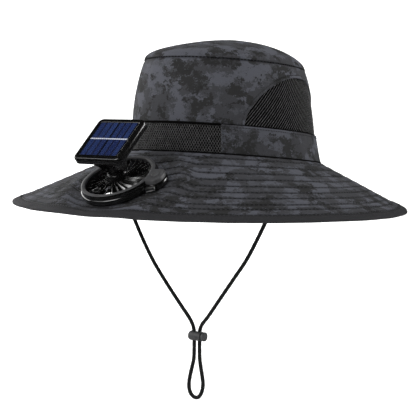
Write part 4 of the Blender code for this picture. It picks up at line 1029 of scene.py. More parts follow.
def band_trim():
    """Threads along the band's top, its two upright seams, and the black lines at its foot and top; the foot
    line is partly its dark seam and partly painted shade of the crease between band and brim.
    """
    threads, piping_and_crease_shade, welts = Shape(), Shape(), Shape()
    angles = np.linspace(0.0, 2 * math.pi, 700, endpoint=False)
    outward = level_out(angles)
    stitches(threads, crown_point(angles, BAND_HEIGHT - 1.7 * MM, -0.10 * MM), outward, 2.9 * MM)
    height = np.linspace(1.2 * MM, BAND_HEIGHT - 0.8 * MM, 60)
    for sign in (1, -1):
        for shift in (0.009, 0.022):
            angle = np.full(60, sign * (MESH_HALF_ANGLE + shift))
            stitches(threads, crown_point(angle, height, -0.35 * MM), level_out(angle), 2.7 * MM,
                     radius=0.24 * MM, loop=False)
        angle = np.full(60, sign * (MESH_HALF_ANGLE + 0.002))
        path = crown_point(angle, height, 0.05 * MM)
        welts.tubes(tube_rings(path, level_out(angle), np.full(60, 0.45 * MM), 8)[None])
    # Partly painted shade: a near-black tube in the crease at the band's foot, for its dark seam and the
    # crease's shadow.
    foot = crown_point(angles, 0.1 * MM, -0.35 * MM) + np.array([0.0, 0.0, 0.25 * MM])
    top = crown_point(angles, BAND_HEIGHT + 0.35 * MM, 0.35 * MM)
    for line, radius in ((foot, 0.75 * MM), (top, 0.55 * MM)):
        rings = tube_rings(np.concatenate([line, line[:1]]), np.concatenate([outward, outward[:1]]),
                           np.full(len(line) + 1, radius), 8)[:-1]
        piping_and_crease_shade.grid(rings, round_rows=True, round_columns=True)
    threads.build("band_topstitch", [DARK_THREAD], slot="camouflage_cloth")
    piping_and_crease_shade.build("band_piping_and_crease_shade", [NET_SHADE_LOOK], slot="binding_tape")
    welts.build("band_seam_welts", [GREY_THREAD], slot="binding_tape")


# Brim

def brim_rows():
    """Places of the brim's grid rows: closer together at each stitched row and at both edges."""
    edges = np.concatenate([[0.0], STITCH_ROWS, [1.0]])
    part = 0.5 - 0.5 * np.cos(np.linspace(0.0, math.pi, 8)[:-1])
    return np.append((edges[:-1, None] + np.diff(edges)[:, None] * part).ravel(), 1.0)


def brim_puff(place):
    """Height of the quilted channels: the square root of a sine between stitched rows."""
    edges = np.concatenate([[0.0], STITCH_ROWS, [1.0]])
    index = np.clip(np.searchsorted(edges, place, side="right") - 1, 0, len(edges) - 2)
    part = (place - edges[index]) / (edges[index + 1] - edges[index])
    full = np.where(index == len(edges) - 2, 0.2, 1.0)
    return np.sqrt(np.clip(np.sin(math.pi * part), 0.0, 1.0)) * full


def brim():
    """Quilted cloth: the top puffs between its stitched rows, the underside a little less, and the rows get
    painted shade.
    """
    columns = 600
    angles = np.arange(columns) * 2 * math.pi / columns
    rows = brim_rows()
    angle, place = np.meshgrid(angles, rows)
    outward = row_wander(angle, place)
    base = brim_point(angle, outward)
    up = upward(brim_point, angle, outward)
    calm = 1.0 - near_fan(base)
    puckers = wrinkle(angle, place, 5, 0.16 * MM, 9, (40, 130), 160.0) * brim_puff(place)
    swell = wrinkle(angle, place, 14, 0.30 * MM, 6, (3, 11), 9.0) * np.sin(math.pi * place)
    top = base + up * ((0.62 * MM * brim_puff(place) + puckers + swell) * calm - 0.15 * MM)[..., None]
    taper = MM * np.clip((place - 0.90) / 0.10, 0.0, 1.0)
    under = base + up * ((-0.35 * MM * brim_puff(place) + swell) * calm - BRIM_THICK + taper)[..., None]
    solid = fan_distance(base) > TUBE_RADIUS + TUBE_WALL + 2.0 * MM
    keep = solid[:-1] & solid[1:]
    keep = keep & np.roll(keep, -1, axis=1)
    uv = np.stack(np.meshgrid(np.append(angles, 2 * math.pi) * 0.15, rows * BRIM_UV_DEPTH), axis=-1)
    shape = Shape()
    shape.grid(top, uv, round_columns=True, keep=keep)
    shape.grid(under, uv, round_columns=True, keep=keep)
    shape.grid(np.stack([top[0], under[0]]), round_columns=True)
    shape.grid(np.stack([top[-1], under[-1]]), round_columns=True)
    wall_faces(shape, top, under, keep)
    cloth = shape.build("brim_cloth", [CLOTH_LOOK], replaces=["brim"], slot="camouflage_cloth", weld=True)
    paint_row_shade(cloth.data)


def paint_row_shade(mesh):
    """Painted shade: marks each corner's nearness to a stitched row, 1 in the valley and fading over about 1
    mm; the cloth darkens it as the valley's shadow.
    """
    flat = np.empty(len(mesh.loops) * 2, dtype=np.float32)
    mesh.uv_layers[0].data.foreach_get("uv", flat)
    place, brim_length = flat.reshape(-1, 2)[:, 1] / BRIM_UV_DEPTH, 0.095
    off = np.abs(place[:, None] - np.array(STITCH_ROWS)).min(axis=1) * brim_length
    near = bell(off, 0.95 * MM).astype(np.float32)
    mesh.attributes.new("painted_valley_shade", "FLOAT", "CORNER").data.foreach_set("value", near)


def wall_faces(shape, top, under, keep):
    """Joins the two layers round the hole, one quad for each edge between kept and left-out faces:
    the kept faces are compared with themselves shifted by one row or column each way."""
    columns = keep.shape[1]
    inner = ~keep
    for shift, axis, first, second in ((1, 0, (0, 0), (0, 1)), (-1, 0, (1, 1), (1, 0)),
                                       (1, 1, (1, 0), (0, 0)), (-1, 1, (0, 1), (1, 1))):
        neighbour = np.roll(keep, shift, axis=axis)
        if axis == 0:
            neighbour[0 if shift == 1 else -1] = False
        row, column = np.nonzero(inner & neighbour)
        a = (row + first[0], (column + first[1]) % columns)
        b = (row + second[0], (column + second[1]) % columns)
        shape.quads(np.stack([top[a], top[b], under[b], under[a]], axis=1))


def brim_stitching():
    """Ten rows of thread round the brim, in the valleys between its channels, broken at the fan; under each
    row lies a dark tube of painted groove shade.
    """
    shape = Shape()
    angles = np.linspace(0.0, 2 * math.pi, 1400, endpoint=False)
    for place in STITCH_ROWS:
        outward = row_wander(angles, np.full_like(angles, place))
        base = brim_point(angles, outward)
        up = upward(brim_point, angles, outward)
        swell = wrinkle(angles, place, 14, 0.30 * MM, 6, (3, 11), 9.0) * math.sin(math.pi * place)
        path = base + up * (swell * (1.0 - near_fan(base)) - 0.05 * MM)[:, None]
        clear = ((fan_distance(base) > FLANGE_RADIUS + 2 * MM)
                 & (fan_distance(base, EAR_CENTRE) > EAR_RADIUS + 2.5 * MM))
        cuts = np.flatnonzero(np.diff(clear.astype(int)))
        runs = np.split(np.arange(len(angles)), cuts + 1)
        if len(runs) > 1 and clear[0] and clear[-1]:
            runs = [np.concatenate([runs[-1], runs[0]])] + runs[1:-1]
        for run in runs:
            if clear[run[0]] and len(run) > 8:
                whole = len(run) == len(angles)
                stitches(shape, path[run], up[run], 3.9 * MM, 0.70, 0.32 * MM, finish=1, loop=whole)
                if whole:
                    run = np.append(run, run[0])
                # Painted shade: a dark tube along the row for the groove's shadow.
                lay_groove_shade(shape, path[run], up[run])
    shape.build("brim_quilting_thread_and_groove_shade", [DARK_THREAD, GREY_THREAD], slot="camouflage_cloth")


def lay_groove_shade(shape, path, up):
    """Painted shade: a continuous dark tube along a row, seen between its stitches, standing for the shadow
    in the sewn groove.
    """
    run = run_of(path)
    at = np.linspace(0.0, run[-1], max(int(run[-1] / (2.6 * MM)), 6))
    middle = pick(path, run, at) - unit(pick(up, run, at)) * 0.10 * MM
    shape.tubes(tube_rings(middle, pick(up, run, at), np.full(len(at), 0.36 * MM), 5)[None])


def binding():
    """Tape folded round the edge: a rounded section carried along the brim's edge."""
    columns = 640
    angles = np.arange(columns) * 2 * math.pi / columns
    edge = brim_point(angles, np.ones(columns))
    inner = brim_point(angles, np.full(columns, 0.92))
    out = unit(edge - inner)
    along = unit(np.roll(edge, -1, axis=0) - np.roll(edge, 1, axis=0))
    up = unit(np.cross(out, along))
    section = rounded([(-7.4, 0.10), (-7.4, 0.80, 0.4), (-3.0, 1.00, 1.0), (0.5, 0.80, 1.0),
                       (1.75, -0.1, 0.8), (1.75, -1.3, 0.8), (0.5, -2.1, 1.0), (-3.0, -2.5, 1.0),
                       (-7.4, -3.1, 0.5), (-7.4, -2.5), (-1.0, -1.7, 0.5), (0.6, -1.3, 0.4),
                       (0.6, -0.2, 0.4), (-1.0, 0.10, 0.5)], 0.25, 3) * MM
    sway = wrinkle(angles, 0.0, 31, 0.30 * MM, 8, (6, 40), 0.0)
    rings = (edge[None] + out[None] * section[:, 0][:, None, None]
             + up[None] * (section[:, 1][:, None, None] + sway[None, :, None] * 0.6))
    run = np.append(angles, 2 * math.pi) * 0.18
    around = run_of(np.concatenate([section, section[:1]]))
    uv = np.stack(np.meshgrid(run, around), axis=-1)
    shape = Shape()
    shape.grid(rings, uv, round_rows=True, round_columns=True)
    shape.build("brim_binding_tape", [TAPE_LOOK], replaces=["brim_binding"], slot="binding_tape")
    threads = Shape()
    for side, height in ((1, 0.86 * MM), (-1, -2.95 * MM)):
        path = edge - out * 6.2 * MM + up * (height + sway[:, None] * 0.6)
        stitches(threads, path, up * side, 3.0 * MM, 0.7, 0.24 * MM)
    threads.build("binding_thread", [DARK_THREAD], slot="binding_tape")


# Cord and its lock

def cord_path(count=900):
    """Even points along the smooth curve through the route."""
    route = np.array(CORD_ROUTE)
    ends = np.concatenate([[2 * route[0] - route[1]], route, [2 * route[-1] - route[-2]]])
    part = np.linspace(0.0, 1.0, 24, endpoint=False)[None, :, None]
    neighbours = (ends[k:len(ends) - 3 + k, None, :] for k in range(4))
    dense = smooth_between(*neighbours, part)
    dense = np.concatenate([dense.reshape(-1, 3), route[-1:]])
    run = run_of(dense)
    return pick(dense, run, np.linspace(0.0, run[-1], count)), run[-1]


def chin_cord():
    """Braided round cord: rings carried along the route, swollen where strands cross."""
    path, length = cord_path()
    sides = 20
    ups = np.broadcast_to(np.array([0.0, 1.0, 0.0]), path.shape)
    run = run_of(path)
    rings = tube_rings(path, ups, np.ones(len(path)), sides) - path[:, None]
    turn = np.arange(sides) * 2 * math.pi / sides
    lay = run[:, None] * 2 * math.pi / 0.0068
    braid = np.maximum(np.sin(4 * turn[None] + lay), np.sin(4 * turn[None] - lay))
    radius = CORD_DIAMETER / 2 + 0.12 * MM + 0.07 * MM * (braid - 0.4)
    rings = path[:, None] + rings * radius[..., None]
    uv = np.stack(np.broadcast_arrays(np.arange(sides + 1)[None, :] / sides, run[:, None]), axis=-1)
    shape = Shape()
    shape.closed_stack(rings, uv=uv)
    cord = shape.build("chin_cord_braid", [BRAID], replaces=["chin_cord"], slot="cord_braid")
    return cord, path, length


def lathe(profile, steps, matrix):
    """Rings (profile points, steps, 3) of an outline (radius, height) turned about the frame's z axis."""
    angle = np.arange(steps) * 2 * math.pi / steps
    radius, height = np.array(profile)[:, 0][:, None], np.array(profile)[:, 1][:, None]
    points = np.stack(np.broadcast_arrays(radius * np.cos(angle), radius * np.sin(angle), height), axis=-1)
    return moved(points, matrix)


def open_profile(corners, radius, steps=4):
    """An eased outline from axis to axis: first and last points stay, the rest are rounded."""
    eased = rounded(corners, radius, steps)
    return eased[steps + 1:len(eased) - steps - 1]


def turned_rings(corners, radius, steps, matrix):
    """Rings of a solid of revolution with eased corners, whose two ends on the axis are tiny circles."""
    tiny = 0.02 * MM
    start, end = [[tiny, corners[0][1]]], [[tiny, corners[-1][1]]]
    return lathe(np.concatenate([start, open_profile(corners, radius), end]), steps, matrix)


def turned_solid(name, corners, radius, finish, matrix, body, node, slot, steps=96):
    """Solid of revolution as a piece of its own."""
    shape = Shape()
    shape.closed_stack(turned_rings(corners, radius, steps, matrix))
    return shape.build(name, [finish], body, [node], slot, sharp=50)


def cutter(points, faces):
    """Mesh object for one cut, deleted after it."""
    mesh = bpy.data.meshes.new("cutter")
    mesh.from_pydata(points.tolist(), [], faces)
    tool = bpy.data.objects.new("cutter", mesh)
    bpy.context.scene.collection.objects.link(tool)
    return tool


def box_tool(low, high, matrix):
    """Box between two corners of a frame."""
    z, y, x = np.meshgrid(*((low[axis], high[axis]) for axis in (2, 1, 0)), indexing="ij")
    faces = [(0, 2, 3, 1), (4, 5, 7, 6), (0, 1, 5, 4), (2, 6, 7, 3), (0, 4, 6, 2), (1, 3, 7, 5)]
    return cutter(moved(np.stack([x, y, z], axis=-1).reshape(-1, 3), matrix), faces)


def rod_tool(radius, low, high, matrix, sides=48):
    """Round rod along a frame's z axis."""
    points = lathe([(radius, low), (radius, high)], sides, matrix).reshape(-1, 3)
    around = np.arange(sides)
    after = (around + 1) % sides
    walls = np.stack([around, after, sides + after, sides + around], axis=-1).tolist()
    return cutter(points, [around[::-1].tolist(), (sides + around).tolist()] + walls)


def carve(obj, *tools):
    """Cuts the tools out of a piece and deletes them."""
    for tool in tools:
        change = obj.modifiers.new("cut", "BOOLEAN")
        change.operation = "DIFFERENCE"
        change.object = tool
        change.solver = "EXACT"
    graph = bpy.context.evaluated_depsgraph_get()
    carved = bpy.data.meshes.new_from_object(obj.evaluated_get(graph))
    obj.modifiers.clear()
    obj.data = carved
    for tool in tools:
        bpy.data.objects.remove(tool)
    obj.data.shade_smooth()
    obj.data.set_sharp_from_angle(angle=math.radians(42))


def lock():
    """Cord lock: barrel with a round closed end and a moulded ring, and the plunger's head and stem."""
    barrel = turned_solid("lock_barrel", [
        (0, LOCK_END), (LOCK_RADIUS, LOCK_END, 0.4 * MM), (LOCK_RADIUS, -1.0 * MM, 0.2 * MM),
        (LOCK_RADIUS - 0.25 * MM, -1.3 * MM, 0.2 * MM), (LOCK_RADIUS - 0.25 * MM, -1.9 * MM, 0.2 * MM),
        (LOCK_RADIUS, -2.2 * MM, 0.2 * MM), (LOCK_RADIUS, LOCK_START + 0.3 * MM, 2.2 * MM), (0, LOCK_START)],
        0.4 * MM, SATIN, LOCK_FRAME, "hat", "toggle_barrel", "satin_plastic")
    beyond, half = 0.02, LOCK_SLOT / 2
    low, high = -4.0 * MM - CORD_DIAMETER / 2 - 2 * GAP, 2.3 * MM + CORD_DIAMETER / 2 + 2 * GAP
    carve(barrel, box_tool((-beyond, -half, low), (beyond, half, high), LOCK_FRAME),
          rod_tool(3.5 * MM, LOCK_START + 1.6 * MM, beyond, LOCK_FRAME))
    start, stem = LOCK_END + LOCK_TRAVEL + GAP, 3.2 * MM
    plunger = turned_solid("lock_plunger_head", [
        (0, start + HEAD_THICK), (HEAD_RADIUS - 1.2 * MM, start + HEAD_THICK, 0.3 * MM),
        (HEAD_RADIUS - 1.5 * MM, start + HEAD_THICK - 0.3 * MM, 0.2 * MM),
        (HEAD_RADIUS - 1.0 * MM, start + HEAD_THICK - 0.1 * MM, 0.2 * MM),
        (HEAD_RADIUS, start + HEAD_THICK - 0.2 * MM, 0.8 * MM), (HEAD_RADIUS, start, 0.4 * MM),
        (stem, start, 0.2 * MM), (stem, LOCK_START + 3.1 * MM, 0.2 * MM), (0, LOCK_START + 3.1 * MM)],
        0.3 * MM, SATIN, LOCK_FRAME, "lock_plunger", "toggle_plunger", "satin_plastic")
    carve(plunger, box_tool((-beyond, -half, low), (beyond, half, high + LOCK_TRAVEL), LOCK_FRAME))
    return barrel, plunger


def anchors():
    """Folded tape tab under the brim at each end of the cord: a square with eased corners, its outline
    drawn in a little at the foot and the waist, and cut off above by the brim's underside."""
    half = ANCHOR_SIZE / 2
    square = rounded([(-half, -half), (half, -half), (half, half), (-half, half)], 1.2 * MM, 5)
    for sign, side in ((1, "left"), (-1, "right")):
        centre = np.array([sign * ANCHOR_PLACE[0], ANCHOR_PLACE[1]])
        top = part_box(f"cord_anchor_{side}")[1][2]
        rings = []
        for share, level in ((0.90, ANCHOR_FOOT), (1.0, ANCHOR_FOOT + 0.4 * MM),
                             (0.97, ANCHOR_FOOT + 4 * MM), (1.0, top)):
            plan = centre + square * share
            height = roof(plan) if level == top else np.minimum(level, roof(plan))
            rings.append(np.column_stack([plan, height]))
        shape = Shape()
        shape.closed_stack(np.array(rings))
        shape.build(f"cord_tab_{side}", [TAPE_LOOK], replaces=[f"cord_anchor_{side}"], slot="binding_tape",
                    sharp=60)


def roof(plan):
    """Height of the brim's underside over points of the ground plan, less a small gap: each point's
    angle is found by steps that bring it onto the line from the crown's foot to the edge."""
    angle = np.arctan2(plan[:, 0] / OPENING_HALF_WIDTH, -plan[:, 1] / OPENING_HALF_LENGTH)
    for _ in range(12):
        inner, edge = crown_point(angle, np.zeros_like(angle))[:, :2], brim_edge_point(angle)[:, :2]
        heading = edge - inner
        off = (plan[:, 0] - inner[:, 0]) * heading[:, 1] - (plan[:, 1] - inner[:, 1]) * heading[:, 0]
        angle = angle - off / (np.linalg.norm(heading, axis=1) * OPENING_HALF_LENGTH)
    place = ((plan - inner) * heading).sum(axis=1) / (heading ** 2).sum(axis=1)
    return brim_point(angle, place)[:, 2] - BRIM_THICK * 1.25 - 0.6 * MM


# Fan

def ear_outline(radius, ear_radius, steps=300):
    """Outline of a disc with a round-ended tab: the larger of the two reaches at each angle, blended."""
    angle = np.arange(steps) * 2 * math.pi / steps
    far = math.hypot(*EAR_CENTRE)
    lean = angle - math.atan2(EAR_CENTRE[1], EAR_CENTRE[0])
    lean = (lean + math.pi) % (2 * math.pi) - math.pi
    across = far * np.sin(lean)
    inside = np.clip(1.0 - np.abs(across / ear_radius) ** 3.2, 0.0, 1.0) ** (1 / 3.2)
    reach = np.where((np.abs(across) < ear_radius) & (np.abs(lean) < 1.0),
                     far * np.cos(lean) + ear_radius * inside, 0.0)
    soft = 1.2 * MM
    top = np.maximum(reach, radius)
    blend = soft * np.log(np.exp((reach - top) / soft) + np.exp((radius - top) / soft))
    return angle, top + blend * (reach > radius * 0.8)


def outlined(levels, angle, outline, matrix):
    """Rings from (reach, height, kind): kind 1 follows the outline, inset by reach; kind 0 is a circle."""
    rings = []
    for reach, height, kind in levels:
        radius = outline - reach if kind else np.full(len(angle), reach)
        rings.append(np.column_stack([radius * np.cos(angle), radius * np.sin(angle),
                                      np.full(len(angle), height)]))
    return moved(np.array(rings), matrix)


def fan_housing():
    """Glossy base: flange with its ear, rounded shoulders, and the tube down through the brim."""
    angle, outline = ear_outline(FLANGE_RADIUS, EAR_RADIUS + EAR_SKIRT)
    outer = TUBE_RADIUS + TUBE_WALL
    levels = [(TUBE_RADIUS, -TUBE_DEPTH, 0), (outer - 0.2 * MM, -TUBE_DEPTH, 0),
              (outer, -TUBE_DEPTH + 0.3 * MM, 0), (outer, GAP, 0), (0.9 * MM, GAP, 1),
              (0.3 * MM, GAP + 0.2 * MM, 1), (0.0, GAP + 0.9 * MM, 1), (0.0, FLANGE_TOP - 1.7 * MM, 1),
              (0.12 * MM, FLANGE_TOP - 0.9 * MM, 1), (0.5 * MM, FLANGE_TOP - 0.3 * MM, 1),
              (1.2 * MM, FLANGE_TOP, 1), (TUBE_RADIUS + 0.3 * MM, FLANGE_TOP, 0),
              (TUBE_RADIUS, FLANGE_TOP - 0.3 * MM, 0)]
    rings = outlined(levels, angle, outline, FAN_FRAME)
    shape = Shape()
    shape.grid(rings, round_rows=True, round_columns=True)
    housing = shape.build("fan_housing", [GLOSS], replaces=["fan_base"], slot="black_plastic", sharp=50)
    seat = FAN_FRAME @ Matrix.Translation((*PORT_PLACE, (GAP + FLANGE_TOP) / 2 + 0.4 * MM))
    seat = seat @ Matrix.Rotation(PORT_TURN, 4, "Z")
    carve(housing, box_tool((-4.9 * MM, -6.8 * MM, -2.0 * MM), (4.9 * MM, 4.8 * MM, 2.0 * MM), seat))
    socket_shell(seat)


def drawn(outlines, seat):
    """Rings from (outline, depth in mm): each flat outline stands upright at its depth in the seat."""
    rings = [np.insert(flat, 1, depth * MM, axis=1) for flat, depth in outlines]
    return moved(np.array(rings), seat)


def socket_shell(seat):
    """Bright pressed shell of the charging socket with its tongue: a rounded frame drawn out in depth."""
    outer = rounded([(-4.1, -1.4), (4.1, -1.4), (4.1, 1.4), (-4.1, 1.4)], 0.8, 5) * MM
    inner = rounded([(-3.6, -0.9), (3.6, -0.9), (3.6, 0.9), (-3.6, 0.9)], 0.6, 5) * MM
    tongue = rounded([(-2.6, -0.25), (2.6, -0.25), (2.6, 0.25), (-2.6, 0.25)], 0.15, 2) * MM
    shape = Shape()
    shape.grid(drawn([(outer, -2.4), (outer, 2.5), (inner * 0.6, 2.5), (inner * 0.6, 2.0), (inner, 2.0),
                      (inner, -2.2), (outer * 0.985, -2.5)], seat), round_rows=True, round_columns=True)
    shape.closed_stack(drawn([(tongue, 2.1), (tongue, -1.4)], seat))
    shape.build("charge_socket", [METAL], replaces=["charge_port"], slot="socket_metal", sharp=40)


def fan_ring():
    """Satin ring with a groove, a raised inner lip and the ear, bored for the button."""
    angle, outline = ear_outline(RING_RADIUS, EAR_RADIUS)
    hole = RING_HOLE + 0.9 * MM
    levels = [(hole, RING_BOTTOM, 0), (0.0, RING_BOTTOM, 1), (0.0, RING_TOP - 1.0 * MM, 1),
              (0.25 * MM, RING_TOP - 0.35 * MM, 1), (0.8 * MM, RING_TOP - 0.08 * MM, 1),
              (1.2 * MM, RING_TOP - 0.05 * MM, 1), (hole + 1.3 * MM, RING_TOP - 0.05 * MM, 0),
              (hole + 1.15 * MM, RING_TOP - 0.20 * MM, 0), (hole + 1.0 * MM, RING_TOP - 0.20 * MM, 0),
              (hole + 0.85 * MM, RING_TOP, 0), (hole + 0.4 * MM, RING_TOP, 0),
              (hole + 0.1 * MM, RING_TOP - 0.15 * MM, 0), (hole, RING_TOP - 0.5 * MM, 0)]
    rings = outlined(levels, angle, outline, FAN_FRAME)
    shape = Shape()
    shape.grid(rings, round_rows=True, round_columns=True)
    ring = shape.build("fan_top_ring", [SATIN, GLOSS], replaces=["fan_ring"], slot="satin_plastic", sharp=38)
    far = math.hypot(*EAR_CENTRE)
    button = FAN_FRAME @ Matrix.Translation((EAR_CENTRE[0] * BUTTON_OUT / far,
                                             EAR_CENTRE[1] * BUTTON_OUT / far, 0.0))
    carve(ring, rod_tool(BUTTON_RADIUS + GAP, 0.0, 2 * RING_TOP, button))
    polish_wall(ring.data)
    low, high = FLANGE_TOP + BUTTON_TRAVEL + GAP / 2, RING_TOP + BUTTON_PROUD
    turned_solid("power_button_cap", [
        (0, high - 0.12 * MM), (BUTTON_RADIUS * 0.55, high - 0.10 * MM, 0.8 * MM),
        (BUTTON_RADIUS - 0.35 * MM, high, 0.4 * MM), (BUTTON_RADIUS, high - 0.4 * MM, 0.4 * MM),
        (BUTTON_RADIUS, low, 0.1 * MM), (0, low)],
        0.3 * MM, SATIN, button, "button", "power_button", "satin_plastic", 64)


def polish_wall(mesh):
    """Gives the round outer wall of the ring the housing's polish; its top and its ear stay satin."""
    middles = np.empty(len(mesh.polygons) * 3, dtype=np.float32)
    mesh.polygons.foreach_get("center", middles)
    local = moved(middles.reshape(-1, 3), FAN_FRAME.inverted())
    reach = np.hypot(local[:, 0], local[:, 1])
    wall = (reach > RING_HOLE + 2 * MM) & (reach < RING_RADIUS + 0.6 * MM)
    wall = wall & (local[:, 2] < RING_TOP - 0.5 * MM)
    mesh.polygons.foreach_set("material_index", wall.astype(np.int32))
    mesh.update()


def guard_height(radius):
    """Top of the dished guard: a shallow bowl, half a sine deep, between hub and rim."""
    part = (radius - HUB_RADIUS) / (GUARD_RIM - HUB_RADIUS)
    return RING_TOP - 0.6 * MM - 1.0 * MM * np.sin(math.pi * np.clip(part, 0, 1)) * (1 - 0.45 * part)


def vanes():
    """Guard's swept vanes (vane, ring, corner, 3): each turns on by one less a power of the way out,
    leans over its own gap with depth, and is an upright strip with a slightly raised crest."""
    radius = np.linspace(HUB_RADIUS - 2.2 * MM, GUARD_RIM + 0.3 * MM, 18)
    part = (radius - radius[0]) / (radius[-1] - radius[0])
    sweep = VANE_SWEEP * (1.0 - (1.0 - part) ** 2.2)
    top = guard_height(radius)
    bottom = np.maximum(top - 2.8 * MM - MM * part, GUARD_UNDER)
    lean = (0.9 * MM + 2.9 * MM * part) / radius
    thick = (0.30 * MM + 0.10 * MM * part) / radius
    corners = ((-1, 0.0), (-0.7, 0.0), (0.7, 0.0), (1, 0.0), (1, 0.5), (1, 1.0), (-1, 1.0), (-1, 0.5))
    side, down = np.array(corners).T
    crest = np.where(np.abs(side) < 1, 0.054 * MM, 0.0)
    around = (sweep[:, None] - lean[:, None] * down + thick[:, None] * side * (0.62 + 0.38 * down))
    height = top[:, None] + (bottom - top)[:, None] * down + crest
    angle = around + (np.arange(VANE_COUNT) * 2 * math.pi / VANE_COUNT)[:, None, None]
    return np.stack([radius[:, None] * np.cos(angle), radius[:, None] * np.sin(angle),
                     np.broadcast_to(height, angle.shape)], axis=-1)


def fan_guard():
    """Guard: its vanes, rim, hub and screw boss."""
    shape = Shape()
    shape.tubes(moved(vanes(), FAN_FRAME))
    outer, inner = GUARD_RIM + 1.0 * MM, GUARD_RIM - 0.2 * MM
    rim = rounded([(outer, RING_BOTTOM), (outer, RING_TOP - 1.3 * MM), (inner, RING_TOP - 1.6 * MM),
                   (inner, RING_BOTTOM)], 0.25 * MM, 3)
    shape.grid(lathe(rim, 160, FAN_FRAME), round_rows=True, round_columns=True)
    shape.closed_stack(turned_rings([
        (0, HUB_TOP), (HUB_RADIUS - 2.6 * MM, HUB_TOP, 0.4 * MM),
        (HUB_RADIUS - 2.2 * MM, HUB_TOP - 0.8 * MM, 0.4 * MM),
        (HUB_RADIUS - 1.9 * MM, HUB_TOP - 1.4 * MM, 1.0 * MM),
        (HUB_RADIUS - 1.7 * MM, RING_BOTTOM + 1.0 * MM, 0.4 * MM),
        (HUB_RADIUS, RING_BOTTOM - 0.4 * MM, 0.6 * MM),
        (HUB_RADIUS - 1.6 * MM, GUARD_UNDER, 0.4 * MM), (0, GUARD_UNDER)], 0.4 * MM, 96, FAN_FRAME))
    boss = rounded([(4.3, 4.2), (4.3, 9.2), (3.3, 9.4), (3.0, 9.2), (3.0, 4.2)], 0.25, 3) * MM
    spread = Matrix.Translation((-0.0066, -0.0226, 0.0)) @ Matrix.Diagonal((1.0, 0.8, 1.0, 1.0))
    shape.grid(lathe(boss, 48, FAN_FRAME @ spread), round_rows=True, round_columns=True)
    shape.build("fan_guard_vanes", [SOFT_GLOSS], replaces=["fan_grille"], slot="black_plastic", sharp=48)


def rotor():
    """Impeller under the guard: cup-shaped hub and seven blades with eased edges, whose pitch falls
    and whose chord grows evenly with the way out."""
    top, bottom, shaft, cup = GUARD_UNDER - 3 * GAP, -TUBE_DEPTH + 1.5 * MM, 1.8 * MM, 9.8 * MM
    shape = Shape()
    shape.closed_stack(turned_rings([
        (0, top + 5.0 * MM), (shaft, top + 5.0 * MM, 0.3 * MM), (shaft, top, 0.3 * MM), (cup, top, 1.0 * MM),
        (cup, bottom, 0.8 * MM), (0, bottom)], 0.3 * MM, 72, FAN_FRAME))
    radius = np.linspace(9.0 * MM, BLADE_TIP - 0.2 * MM, 14)
    part = (radius - radius[0]) / (radius[-1] - radius[0])
    pitch = np.radians(46.0 - 20.0 * part)
    chord = 0.0085 + 0.0030 * part
    middle = (top + bottom) / 2
    outline = rounded([(-0.5, -0.055), (0.5, -0.03), (0.5, 0.03), (-0.5, 0.055)], 0.04, 2)
    along, across = outline[:, 0], outline[:, 1]
    flat, thick = along * chord[:, None], across * 11.0 * MM
    tangent = flat * np.cos(pitch)[:, None] - thick * np.sin(pitch)[:, None]
    height = flat * np.sin(pitch)[:, None] + thick * np.cos(pitch)[:, None]
    height = np.clip(height, (bottom - middle) + 0.1 * MM, (top - middle) - 0.1 * MM) + middle
    turn = (np.arange(BLADE_COUNT) * 2 * math.pi / BLADE_COUNT)[:, None, None] + 0.25 * part[None, :, None]
    angle = turn + (tangent / radius[:, None])[None]
    points = np.stack([radius[None, :, None] * np.cos(angle), radius[None, :, None] * np.sin(angle),
                       np.broadcast_to(height[None], angle.shape)], axis=-1)
    shape.tubes(moved(points, FAN_FRAME))
    shape.build("fan_rotor", [DULL], "rotor", ["fan_impeller"], "black_plastic", sharp=45)


def retainer():
    """Clamping ring under the brim with eased edges."""
    inner, outer, high = TUBE_RADIUS + TUBE_WALL + GAP, FLANGE_RADIUS - 1.0 * MM, -BRIM_THICK - 2 * GAP
    low = high - 3.0 * MM
    profile = rounded([(inner, high), (outer, high), (outer, low + 0.8 * MM, 0.6 * MM),
                       (outer - 0.8 * MM, low, 0.6 * MM), (inner, low)], 0.25 * MM, 4)
    shape = Shape()
    shape.grid(lathe(profile, 144, FAN_FRAME), round_rows=True, round_columns=True)
    shape.build("fan_clamp_ring", [GLOSS], replaces=["fan_retainer"], slot="black_plastic", sharp=40)


# Solar panel

def panel_outline(inset, corner=None, steps=9):
    """Rounded rectangle, inset all round, in the panel's own plane."""
    corner = max(PANEL_CORNER - inset, 0.8 * MM) if corner is None else corner
    half_x, half_y = PANEL_WIDTH / 2 - inset, PANEL_LENGTH / 2 - inset
    out = []
    for quarter, (sx, sy) in enumerate(((1, 1), (-1, 1), (-1, -1), (1, -1))):
        turn = math.pi / 2 * (quarter + np.linspace(0.0, 1.0, steps))
        out.append(np.stack([sx * (half_x - corner) + corner * np.cos(turn),
                             sy * (half_y - corner) + corner * np.sin(turn) + PANEL_SHIFT], -1))
    return np.concatenate(out)


def panel_rings(layers):
    """Rings of the panel's frame from (outline, height)."""
    return moved(np.array([np.insert(flat, 2, height, axis=1) for flat, height in layers]), PANEL_FRAME)


